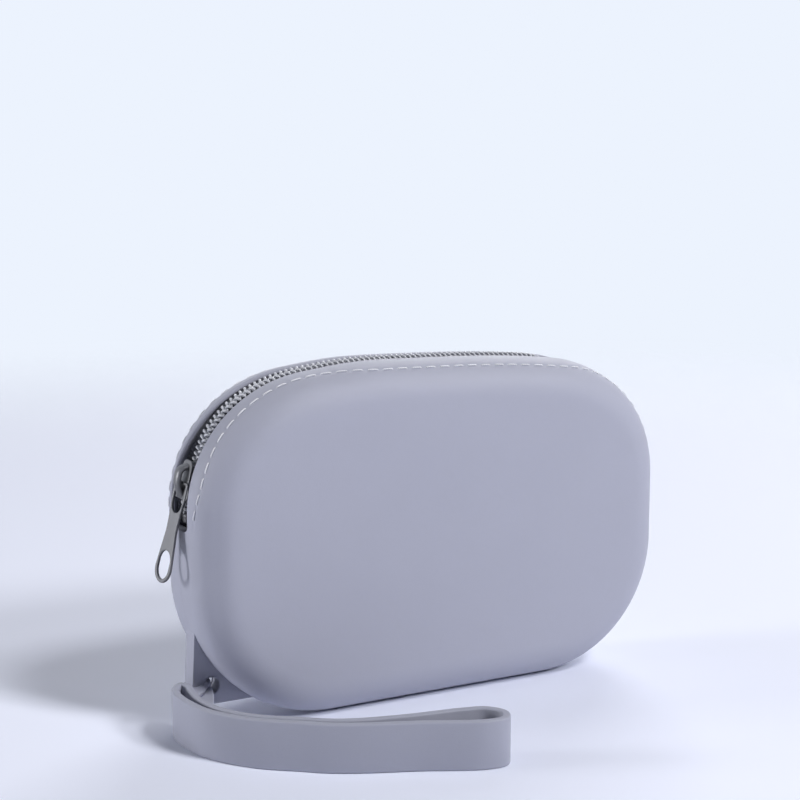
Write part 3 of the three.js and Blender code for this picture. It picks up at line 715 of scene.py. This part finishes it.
def along_mouth(rings, run):
    """Length along the mouth and way across it, for each point of a band and for its two end fans."""
    place = np.stack(np.broadcast_arrays(run, rings[:, :, 1], 0.0), -1).reshape(-1, 3)
    return np.concatenate([place, place[[0, -1]]])


woven_tape = tape_material()
for half, side in ZIP_HALVES.items():
    rings, run = tape_rings(side)
    tape = add_piece(half + "_tape", [shell(rings)], woven_tape, crease=50, along=along_mouth(rings, run))
    fix_to_half(tape, half, half + "_zip_tape")


# Zip coils
# Each row is one nylon wire wound in flat loops along its tape. The loops of the two rows lie half a pitch
# apart, so that their heads mesh in the middle of the closed zip.
COIL_PITCH = 1.6
COIL_WIRE = 0.37
COIL_HALF_WIDTH = 1.2
COIL_HEAD = 0.25
COIL_FROM = 3.75
COIL_STEPS = 12
WIRE_SIDES = 6
COIL_DARK = (0.46, 0.47, 0.53, 1)
COIL_LIGHT = (0.64, 0.65, 0.70, 1)


def unit(vectors):
    """Vectors of length one in the same directions."""
    return vectors / np.linalg.norm(vectors, axis=-1, keepdims=True)


def swept(path, one, other, section):
    """A section of (one, other) pairs carried along a path, each on its own direction."""
    other = np.broadcast_to(other, path.shape)
    return path[:, None] + section[:, :1] * one[:, None] + section[:, 1:] * other[:, None]


def oval(half_one, half_other, power, count):
    """A closed superellipse: cosine and sine to the power of two over the given one, with their signs."""
    ring = circle(count)
    return [half_one, half_other] * np.sign(ring) * np.abs(ring) ** (2 / power)


def coil_rings(side):
    """A round wire on a flattened helix: it goes round once in each pitch, wider to the zip's middle."""
    turns = (mouth_length - 2 * COIL_FROM) / COIL_PITCH
    run = COIL_FROM + COIL_PITCH * np.linspace(0, turns, int(turns) * COIL_STEPS + 1)
    phase = 2 * np.pi * run / COIL_PITCH + (np.pi if side > 0 else 0)
    wide = COIL_HALF_WIDTH - COIL_WIRE + COIL_HEAD / 2
    y = row_middle(run) - COIL_HEAD / 2 + wide * np.cos(phase)
    high = COIL_HALF_HEIGHT - COIL_WIRE
    path = sunk(run, side * y, chain_sink(run) + COIL_HALF_HEIGHT + high * np.sin(phase))
    along = unit(np.gradient(path, axis=0))
    _, _, nx, nz = outline_at(run)
    chain = np.stack([nz, 0 * nx, -nx], -1)
    one = unit(np.cross(along, chain))
    return swept(path, one, np.cross(along, one), oval(COIL_WIRE, COIL_WIRE, 2, WIRE_SIDES))


def nylon_material():
    """Satin nylon wire with slight changes of tone along it."""
    material, shade = new_material("coil_nylon")
    place = shade.node("TexCoord", output="Object")
    tone = place.noise(scale=300.0, detail=2.0)
    scuff = place.noise(scale=2500.0, detail=2.0)
    shade.finish(
        Base_Color=tone.mix(COIL_DARK, COIL_LIGHT), Roughness=0.3 + 0.15 * scuff,
        Normal=scuff.bump(strength=0.1, distance=0.00005), Specular_IOR_Level=0.55)
    return material


coil_nylon = nylon_material()
for half, side in ZIP_HALVES.items():
    coil = add_piece(half + "_coil_loops", [shell(coil_rings(side))], coil_nylon)
    fix_to_half(coil, half, half + "_coil")


# Zip stops
# Small metal clips pressed on the ends of the coils: one for each row where the zip opens, and a wider one
# over both rows at its far end.
STOP_FROM = 1.0
STOP_TO = 3.5
STOP_HALF = 1.4
CHAIN_HALF = 2.55
CLIP_REACH = 0.97
CLIP_FULLNESS = 6
CLIP_SQUARENESS = 5
# Both clip colours are darkened to paint the shade in the slit, where the pull shades the clips; the two
# differ only by a random tone in the coat.
STOP_PAINTED_SHADE = (0.10, 0.10, 0.108, 1)
STOP_WORN_IN_PAINTED_SHADE = (0.16, 0.16, 0.17, 1)


def clip_rings(start, end, y, half):
    """A rounded block along the chain: superellipse sections that draw in towards both ends."""
    share = np.linspace(-1, 1, 9)
    run = (start + end) / 2 + (end - start) / 2 * share
    size = (1 - np.abs(CLIP_REACH * share) ** CLIP_FULLNESS) ** (1 / CLIP_FULLNESS)
    section = oval(half, COIL_HALF_HEIGHT, CLIP_SQUARENESS, 20)
    middle = chain_sink(run)[:, None] + COIL_HALF_HEIGHT
    return sunk(run[:, None], y + size[:, None] * section[:, 0], middle + size[:, None] * section[:, 1])


def metal_material(name, dull, bright, metallic):
    """Satin coated metal: a fine cast grain, and a slightly uneven sheen."""
    material, shade = new_material(name)
    place = shade.node("TexCoord", output="Object")
    tone = place.noise(scale=220.0, detail=3.0)
    grain = place.noise(scale=3000.0, detail=2.0)
    shade.finish(
        Base_Color=tone.mix(dull, bright), Metallic=metallic, Roughness=0.36 + 0.14 * tone,
        Normal=grain.bump(strength=0.12, distance=0.00006))
    return material


stop_metal = metal_material("stop_satin_metal", STOP_PAINTED_SHADE, STOP_WORN_IN_PAINTED_SHADE, metallic=0.9)
stop_y = ROW_MIDDLE + ROW_PART
far_start, far_end = mouth_length - STOP_TO, mouth_length - STOP_FROM
for name, node, rings in (
        ("front_stop_clip", "front_top_stop", clip_rings(STOP_FROM, STOP_TO, -stop_y, STOP_HALF)),
        ("rear_stop_clip", "rear_top_stop", clip_rings(STOP_FROM, STOP_TO, stop_y, STOP_HALF)),
        ("far_stop_clip", "bottom_stop", clip_rings(far_start, far_end, 0.0, CHAIN_HALF))):
    clip = add_piece(name, [shell(rings)], stop_metal)
    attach(clip, "pouch")
    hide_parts(node)


# Seams
# A row of machine stitches along each lip, in pale twisted thread. Each stitch lies in the shallow groove
# that the pull of the thread makes in the silicone, and both its ends go down through the wall.
STITCH_PITCH = 4.4
STITCH_LENGTH = 3.3
STITCH_RADIUS = 0.2
STITCH_RISE = 0.2
STITCH_FLATNESS = 8
SEAM_FROM = 2.4
STRAND_TURN = (0.5, 0.6, 0.7)
THREAD_DARK = (0.66, 0.665, 0.72, 1)
THREAD_LIGHT = (0.80, 0.805, 0.85, 1)


def stitch_rings(side):
    """Short arched threads, whose height over the skin falls off with a high power from their middle."""
    count = int((mouth_length - 2 * SEAM_FROM) / STITCH_PITCH)
    first = (mouth_length - count * STITCH_PITCH) / 2 + STITCH_PITCH / 2
    share = np.sin(np.linspace(-np.pi / 2, np.pi / 2, 9))
    run = first + STITCH_PITCH * np.arange(count)[:, None] + STITCH_LENGTH / 2 * share
    turn = edge_turn(seam_y(run), outer_across)[:, :, None]
    tilt = np.arctan2(
        np.tan(turn) ** (2 * (EDGE_FULLNESS - 1) / EDGE_FULLNESS) / outer_across, 1 / EDGE_REACH)
    fall = STITCH_RISE + STITCH_RADIUS + SEAM_DEPTH
    rise = STITCH_RISE - fall * share ** STITCH_FLATNESS - SEAM_DEPTH
    section = oval(STITCH_RADIUS, STITCH_RADIUS, 2, WIRE_SIDES)
    lift = rise[:, None] + section[:, 1]
    y = seam_y(run)[:, :, None] + lift * np.sin(tilt) + section[:, 0] * np.cos(tilt)
    sink = edge_sink(turn, EDGE_REACH) - lift * np.cos(tilt) + section[:, 0] * np.sin(tilt)
    return sunk(run[:, :, None], side * y, sink)


def thread_material():
    """Twisted thread: fine slanting strands."""
    material, shade = new_material("stitch_thread")
    place = shade.node("TexCoord", output="Object")
    turned = shade.node("Mapping", None, {"Vector": place, "Rotation": STRAND_TURN})
    strand = shade.node("TexWave", None, {"Vector": turned, "Scale": 700.0, "Distortion": 1.0})
    shade.finish(
        Base_Color=strand.mix(THREAD_DARK, THREAD_LIGHT), Roughness=0.7 + 0.1 * strand,
        Normal=strand.bump(strength=0.4, distance=0.0001), Sheen_Weight=0.2)
    return material


stitch_thread = thread_material()
for half, side in ZIP_HALVES.items():
    stitches = add_piece(half + "_stitches", [shell(stitch_rings(side))], stitch_thread)
    fix_to_half(stitches, half, half + "_seam_thread")


# Slider
# A small coated zinc casting that runs on both coils: two plates joined by a wedge, a flange down each side,
# and a bridge over the top plate that holds the pull.
SLIDER_ANGLE = SLIDER_RISE / TOP_CORNER_RADIUS
SLIDER_PLACE = np.array([
    -top_corner_x - TOP_CORNER_RADIUS * np.cos(SLIDER_ANGLE), 0.0,
    top_corner_z + TOP_CORNER_RADIUS * np.sin(SLIDER_ANGLE)])
SLIDER_HALF_LENGTH = 5.2
SLIDER_FRONT_HALF = 4.75
SLIDER_NECK_HALF = 3.4
SLIDER_REAR_HALF = 3.3
SLIDER_SHOULDER = -3.2
SLIDER_NECK = -1.0
SLIDER_CORNER = 1.2
SLIDER_WAIST_CORNER = 0.96
SLIDER_REAR_CORNER = 2.4
PLATE_OUTSIDE = 0.35
PLATE_THICKNESS = 0.5
PLATE_EDGE = 0.2
LOWER_PLATE = 4.88
FLANGE_FOOT = 3.2
FLANGE_THICKNESS = 0.65
FLANGE_INSET = 0.1
FLANGE_SQUARENESS = 6
WEDGE_HALF = 0.85
WEDGE_FRONT = -4.0
WEDGE_REAR = -1.0
WEDGE_CORNER = 0.4
WEDGE_POINT = 0.2
WEDGE_EDGE = 0.05
BRIDGE_FOOT = 0.75
BRIDGE_HIGH = 3.55
BRIDGE_HIGH_BEND = 2.55
BRIDGE_HIGH_CORNER = 1.4
BRIDGE_LOW = -4.4
BRIDGE_LOW_BEND = -1.6
BRIDGE_LOW_CORNER = 2.2
BRIDGE_MIDDLE = -1.5
BRIDGE_SHIFT = 0.15
BRIDGE_HALF_WIDTH = 1.75
BRIDGE_HALF_BAR = 0.8
BRIDGE_FULLNESS = 2.4
CORNER_STEPS = 8
METAL_DULL = (0.108, 0.108, 0.116, 1)
METAL_BRIGHT = (0.15, 0.15, 0.16, 1)


def turned_to(points, place, angle):
    """Local points, X into the pouch and Z up along the chain, turned about Y by an angle and placed."""
    x, y, z = np.moveaxis(points, -1, 0)
    return place + np.stack([
        x * np.cos(angle) + z * np.sin(angle), y, z * np.cos(angle) - x * np.sin(angle)], -1)


def parabola(start, control, end, share):
    """Places on a parabola: start, control and end, weighted by (1 - s)^2, 2s(1 - s) and s^2."""
    return (1 - share) ** 2 * start + 2 * share * (1 - share) * control + share ** 2 * end


def rounded_corners(corners):
    """A closed curve by corners (u, v, radius). A parabola cuts off each one at its radius on both sides."""
    corners = np.array(corners, float)
    here, radius = corners[:, :2], corners[:, 2:]
    before, after = np.roll(here, 1, axis=0), np.roll(here, -1, axis=0)
    start = here + radius * unit(before - here)
    end = here + radius * unit(after - here)
    curve = parabola(start, here, end, np.linspace(0, 1, CORNER_STEPS)[:, None, None])
    return np.swapaxes(curve, 0, 1).reshape(-1, 2)


def plate_rings(border, low, high, edge):
    """A plate between two levels of X: its border, drawn in by a quarter circle at both faces."""
    ahead = unit(np.roll(border, -1, axis=0) - np.roll(border, 1, axis=0))
    out = np.stack([ahead[:, 1], -ahead[:, 0]], -1)
    inward, rise = quarter_round(5)
    inset = edge * np.concatenate([inward, inward[::-1]])
    level = np.concatenate([low + edge * rise, high - edge * rise[::-1]])
    flat = border - inset[:, None, None] * out
    return np.concatenate([np.broadcast_to(level[:, None, None], flat.shape[:2] + (1,)), flat], -1)


def slider_plate(low):
    """A plate with broad shoulders where the zip opens, and a narrow rear half."""
    right = np.array([
        [SLIDER_FRONT_HALF, -SLIDER_HALF_LENGTH, SLIDER_CORNER],
        [SLIDER_FRONT_HALF, SLIDER_SHOULDER, SLIDER_WAIST_CORNER],
        [SLIDER_NECK_HALF, SLIDER_NECK, SLIDER_WAIST_CORNER],
        [SLIDER_REAR_HALF, SLIDER_HALF_LENGTH, SLIDER_REAR_CORNER]])
    border = rounded_corners(np.concatenate([right, right[::-1] * [-1, 1, 1]]))
    return plate_rings(border, low, low + PLATE_THICKNESS, PLATE_EDGE)


def flange_rings(side):
    """A side wall along the plate's border: rounded rectangles along the slider."""
    z = np.linspace(-1, 1, 19) * (SLIDER_HALF_LENGTH - SLIDER_CORNER)
    outer = np.interp(
        z, [SLIDER_SHOULDER, SLIDER_NECK, SLIDER_HALF_LENGTH],
        [SLIDER_FRONT_HALF, SLIDER_NECK_HALF, SLIDER_REAR_HALF])
    section = oval(0.5, 0.5, FLANGE_SQUARENESS, 24)
    top = PLATE_OUTSIDE + PLATE_THICKNESS / 2
    x = (top + FLANGE_FOOT) / 2 + (FLANGE_FOOT - top) * section[:, 0]
    y = outer[:, None] - FLANGE_INSET - FLANGE_THICKNESS * (0.5 - section[:, 1])
    return np.stack(np.broadcast_arrays(x, side * y, z[:, None]), -1)


def wedge_rings():
    """A pointed post between the plates, with rounded sides."""
    border = rounded_corners([
        [0, WEDGE_FRONT - WEDGE_HALF, WEDGE_CORNER], [WEDGE_HALF, WEDGE_FRONT, WEDGE_CORNER],
        [0, WEDGE_REAR, WEDGE_POINT], [-WEDGE_HALF, WEDGE_FRONT, WEDGE_CORNER]])
    into = PLATE_THICKNESS / 2
    return plate_rings(border, PLATE_OUTSIDE + into, LOWER_PLATE + into, WEDGE_EDGE)


def bridge_rings():
    """A strap of metal with round edges on a low arch along the slider, steep above and gentle below.

    The arch's two feet have no radius, so of the equal points there only one is kept.
    """
    path = rounded_corners([
        [BRIDGE_FOOT, BRIDGE_HIGH, 0.0], [BRIDGE_MIDDLE, BRIDGE_HIGH_BEND, BRIDGE_HIGH_CORNER],
        [BRIDGE_MIDDLE, BRIDGE_LOW_BEND, BRIDGE_LOW_CORNER], [BRIDGE_FOOT, BRIDGE_LOW, 0.0]])
    path = path[CORNER_STEPS - 1:1 - CORNER_STEPS]
    ahead = unit(np.gradient(path, axis=0))
    across = np.stack([ahead[:, 1], 0 * ahead[:, 0], -ahead[:, 0]], -1)
    place = np.stack([path[:, 0], np.full(len(path), BRIDGE_SHIFT), path[:, 1]], -1)
    section = oval(BRIDGE_HALF_BAR, BRIDGE_HALF_WIDTH, BRIDGE_FULLNESS, 24)
    return swept(place, across, [0, 1, 0], section)


slider_shells = [
    shell(turned_to(rings, SLIDER_PLACE, SLIDER_ANGLE)) for rings in (
        slider_plate(PLATE_OUTSIDE), slider_plate(LOWER_PLATE), flange_rings(-1), flange_rings(1),
        wedge_rings(), bridge_rings())]
coated_metal = metal_material("slider_coated_metal", METAL_DULL, METAL_BRIGHT, metallic=0.55)
slider = add_piece("zip_slider", slider_shells, coated_metal, crease=50)
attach(slider, "slider")
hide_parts("slider_body")


# Pull tab
# A stamped plate of the same coated metal. Its cross bar turns under the slider's bridge, which comes
# through the eye, and its lower end has a long slot. All its edges are rounded by tumbling.
PULL_LENGTH = 26.8
PULL_HALF_THICKNESS = 0.38
PULL_HALF_BAR = 0.4
PULL_EDGE = 0.24
PULL_LEAN = np.radians(-0.3)
PULL_TWIST = np.radians(9.5)
PULL_HINGE = np.array([-0.12, -0.6, -0.93])
EYE_HALF = 2.46
EYE_WALL = 0.95
EYE_LENGTH = 8.0
PULL_WAIST_HALF = 2.5
SLOT_HALF = 2.9
SLOT_LENGTH = 7.5
SLOT_WALL = 1.05


def arc(middle, radius, first, last, count=24):
    """An arc between two angles, about a place on the tab's middle line."""
    angle = np.linspace(first, last, count)
    return np.stack([radius * np.cos(angle), middle + radius * np.sin(angle)], -1)


def pull_outlines():
    """The tab's border and its two openings, as closed outlines in Y and Z from the cross bar's middle.

    Each is drawn on the right from the top down, and mirrored on the left.
    """
    foot = SLOT_HALF + SLOT_WALL
    foot_z = foot - PULL_LENGTH
    waist_z = (SLOT_WALL - PULL_LENGTH + SLOT_LENGTH - EYE_LENGTH) / 2
    hip, control, waist = np.array([
        [EYE_HALF + EYE_WALL, -EYE_LENGTH / 2], [PULL_WAIST_HALF, -EYE_LENGTH], [PULL_WAIST_HALF, waist_z]])
    side = parabola(hip, control, waist, np.linspace(0, 1, 20)[:, None])
    shoulder = arc(PULL_HALF_BAR - EYE_WALL, EYE_WALL, np.pi / 2, 0, count=10) + [EYE_HALF, 0]
    border = np.concatenate([shoulder, side, arc(foot_z, foot, 0, -np.pi / 2)[:-1]])
    eye_foot = arc(EYE_HALF - EYE_LENGTH, EYE_HALF, 0, -np.pi / 2)
    eye = np.concatenate([[[EYE_HALF, -PULL_HALF_BAR]], eye_foot[:-1]])
    slot_high = foot_z + SLOT_LENGTH - 2 * SLOT_HALF
    slot = np.concatenate([
        arc(slot_high, SLOT_HALF, np.pi / 2, 0)[1:], arc(foot_z, SLOT_HALF, 0, -np.pi / 2)[:-1]])
    return [np.concatenate([right, right[::-1] * [-1, 1]]) for right in (border, eye, slot)]


def plate_with_openings(name, outlines, half_thickness, edge):
    """A flat filled curve with openings, given its thickness and round edges, as a mesh in its own plane."""
    curve = bpy.data.curves.new(name, "CURVE")
    curve.dimensions = "2D"
    curve.fill_mode = "BOTH"
    curve.extrude = (half_thickness - edge) * MM
    curve.bevel_depth = edge * MM
    curve.bevel_resolution = 3
    curve.offset = -edge * MM
    for outline in outlines:
        spline = curve.splines.new("POLY")
        spline.points.add(len(outline) - 1)
        flat = np.concatenate([outline * MM, np.tile([0, 1], (len(outline), 1))], axis=1)
        spline.points.foreach_set("co", flat.ravel())
        spline.use_cyclic_u = True
    drawn = bpy.data.objects.new(name, curve)
    bpy.context.scene.collection.objects.link(drawn)
    depsgraph = bpy.context.evaluated_depsgraph_get()
    mesh = bpy.data.meshes.new_from_object(drawn.evaluated_get(depsgraph))
    bpy.data.objects.remove(drawn)
    return mesh


pull_mesh = plate_with_openings("pull_outline", pull_outlines(), PULL_HALF_THICKNESS, PULL_EDGE)
flat_points = np.zeros(3 * len(pull_mesh.vertices))
pull_mesh.vertices.foreach_get("co", flat_points)
flat_points = flat_points.reshape(-1, 3)[:, [2, 0, 1]] / MM
twist_cos, twist_sin = np.cos(PULL_TWIST), np.sin(PULL_TWIST)
flat_points = flat_points @ np.array([[twist_cos, twist_sin, 0], [-twist_sin, twist_cos, 0], [0, 0, 1]])
pull_place = turned_to(PULL_HINGE, SLIDER_PLACE, SLIDER_ANGLE)
pull_points = turned_to(flat_points, pull_place, SLIDER_ANGLE + PULL_LEAN) * MM
pull_mesh.vertices.foreach_set("co", pull_points.ravel())
pull = add_mesh("pull_plate", pull_mesh, coated_metal, crease=35)
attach(pull, "pull")
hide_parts("pull_tab")


# Wrist strap
# A flat silicone band moulded as a closed loop, which lies on its edge in front of the pouch.
# Its narrow neck goes through the lug's hole and round the lug's outer bar.
STRAP_HALF_WIDTH = 6.3
STRAP_HALF_THICKNESS = 1.0
STRAP_EDGE = 0.5
STRAP_STEPS = 14
BAR_X = -HALF_WIDTH + 3.5
NECK_RADIUS = 3.5
NECK_DROP = 1.6
NECK_HALF_HEIGHT = 1.2
NECK_HALF_THICKNESS = 0.6
NECK_SQUARENESS = 4
STRAP_DARK = (0.317, 0.326, 0.402, 1)
STRAP_LIGHT = (0.342, 0.350, 0.431, 1)
# Places on the loop in X and Y from the middle of the lug's bar, from the neck round to the neck
STRAP_ROUTE = np.array([
    [-4.9, -10.5], [-4.4, -6.4], [-5.5, -3.9], [-7.3, -5.4], [-8.8, -10.0], [-8.4, -18.0], [-5.9, -27.0],
    [1.6, -37.6], [10.6, -44.8], [18.6, -50.6], [37.4, -58.8], [51.5, -65.2], [57.0, -65.3], [58.9, -61.8],
    [56.4, -57.4], [50.6, -55.4], [34.6, -52.6], [20.2, -48.2], [12.2, -42.6], [2.8, -35.3], [-3.4, -26.2],
    [-5.2, -18.3]])
# Start, control and end of each tongue's middle line, and the vector of its half width at both ends
OUTER_TONGUE = np.array([[-67.4, -2.6, 10.9], [-70.4, -6.0, 8.7], [-74.7, -5.2, 11.0]])
OUTER_TONGUE_HALF = np.array([[0.2, 1.2, 0.8], [0.1, 1.2, 0.9]])
INNER_TONGUE = np.array([[-66.7, -2.8, 9.2], [-68.5, -9.0, 8.6], [-74.3, -18.0, 10.3]])
INNER_TONGUE_HALF = np.array([[0.8, -0.3, 0.2], [0.3, -5.0, 0.0]])


def closed_curve(points, steps):
    """A closed curve through points: cubics, with slopes weighted by the roots of the gaps between them."""
    before, after, beyond = (np.roll(points, shift, axis=0) for shift in (1, -1, -2))
    legs = np.stack([points - before, after - points, beyond - after])
    gap_before, gap, gap_after = np.sqrt(np.linalg.norm(legs, axis=-1, keepdims=True))
    leave = after - points + gap * (
        (points - before) / gap_before - (after - before) / (gap_before + gap))
    arrive = after - points + gap * (
        (beyond - after) / gap_after - (beyond - points) / (gap + gap_after))
    t = np.linspace(0, 1, steps, endpoint=False)[:, None, None]
    curve = (2 * t ** 3 - 3 * t ** 2 + 1) * points + (t ** 3 - 2 * t ** 2 + t) * leave
    curve = curve + (3 * t ** 2 - 2 * t ** 3) * after + (t ** 3 - t ** 2) * arrive
    return np.swapaxes(curve, 0, 1).reshape(-1, 2)


def band_rings():
    """The band's rounded section, upright, carried round the route."""
    route = closed_curve(STRAP_ROUTE, STRAP_STEPS)
    ahead = unit(np.roll(route, -1, axis=0) - np.roll(route, 1, axis=0))
    path = np.stack([BAR_X + route[:, 0], route[:, 1], np.full(len(route), STRAP_HALF_WIDTH)], -1)
    out = np.stack([-ahead[:, 1], ahead[:, 0], 0 * ahead[:, 0]], -1)
    down, inward = quarter_round(5)
    quarter = np.stack([
        STRAP_HALF_THICKNESS - STRAP_EDGE * inward, STRAP_HALF_WIDTH - STRAP_EDGE * down], -1)
    section = np.concatenate([
        quarter, quarter[::-1] * [-1, 1], quarter * [-1, -1], quarter[::-1] * [1, -1]])
    return swept(path, out, [0, 0, 1], section)


def neck_rings():
    """A rounded section carried round the lug's bar, lower on the outer side."""
    x, y = circle(64).T
    out = np.stack([x, y, 0 * x], -1)
    path = np.stack([BAR_X + NECK_RADIUS * x, NECK_RADIUS * y, HOLE_Z - NECK_DROP * (1 - x) / 2], -1)
    section = oval(NECK_HALF_THICKNESS, NECK_HALF_HEIGHT, NECK_SQUARENESS, 20)
    return swept(path, out, [0, 0, 1], section)


def tongue_rings(middle, half):
    """A strip from the hole to the band on a parabola. Its half width goes evenly from vector to vector."""
    share = np.linspace(0, 1, 18)[:, None]
    path = parabola(*middle, share)
    wide = half[0] * (1 - share) + half[1] * share
    thick = unit(np.cross(np.gradient(path, axis=0), wide))
    return swept(path, thick, wide, oval(NECK_HALF_THICKNESS, 1.0, NECK_SQUARENESS, 20))


strap_silicone = silicone_material("strap_silicone_matte", STRAP_DARK, STRAP_LIGHT)
strap_shells = [
    shell(band_rings(), loop=True), shell(neck_rings(), loop=True),
    shell(tongue_rings(OUTER_TONGUE, OUTER_TONGUE_HALF)),
    shell(tongue_rings(INNER_TONGUE, INNER_TONGUE_HALF))]
strap = add_piece("strap_band", strap_shells, strap_silicone, crease=50)
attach(strap, "strap")
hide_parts("wrist_strap")
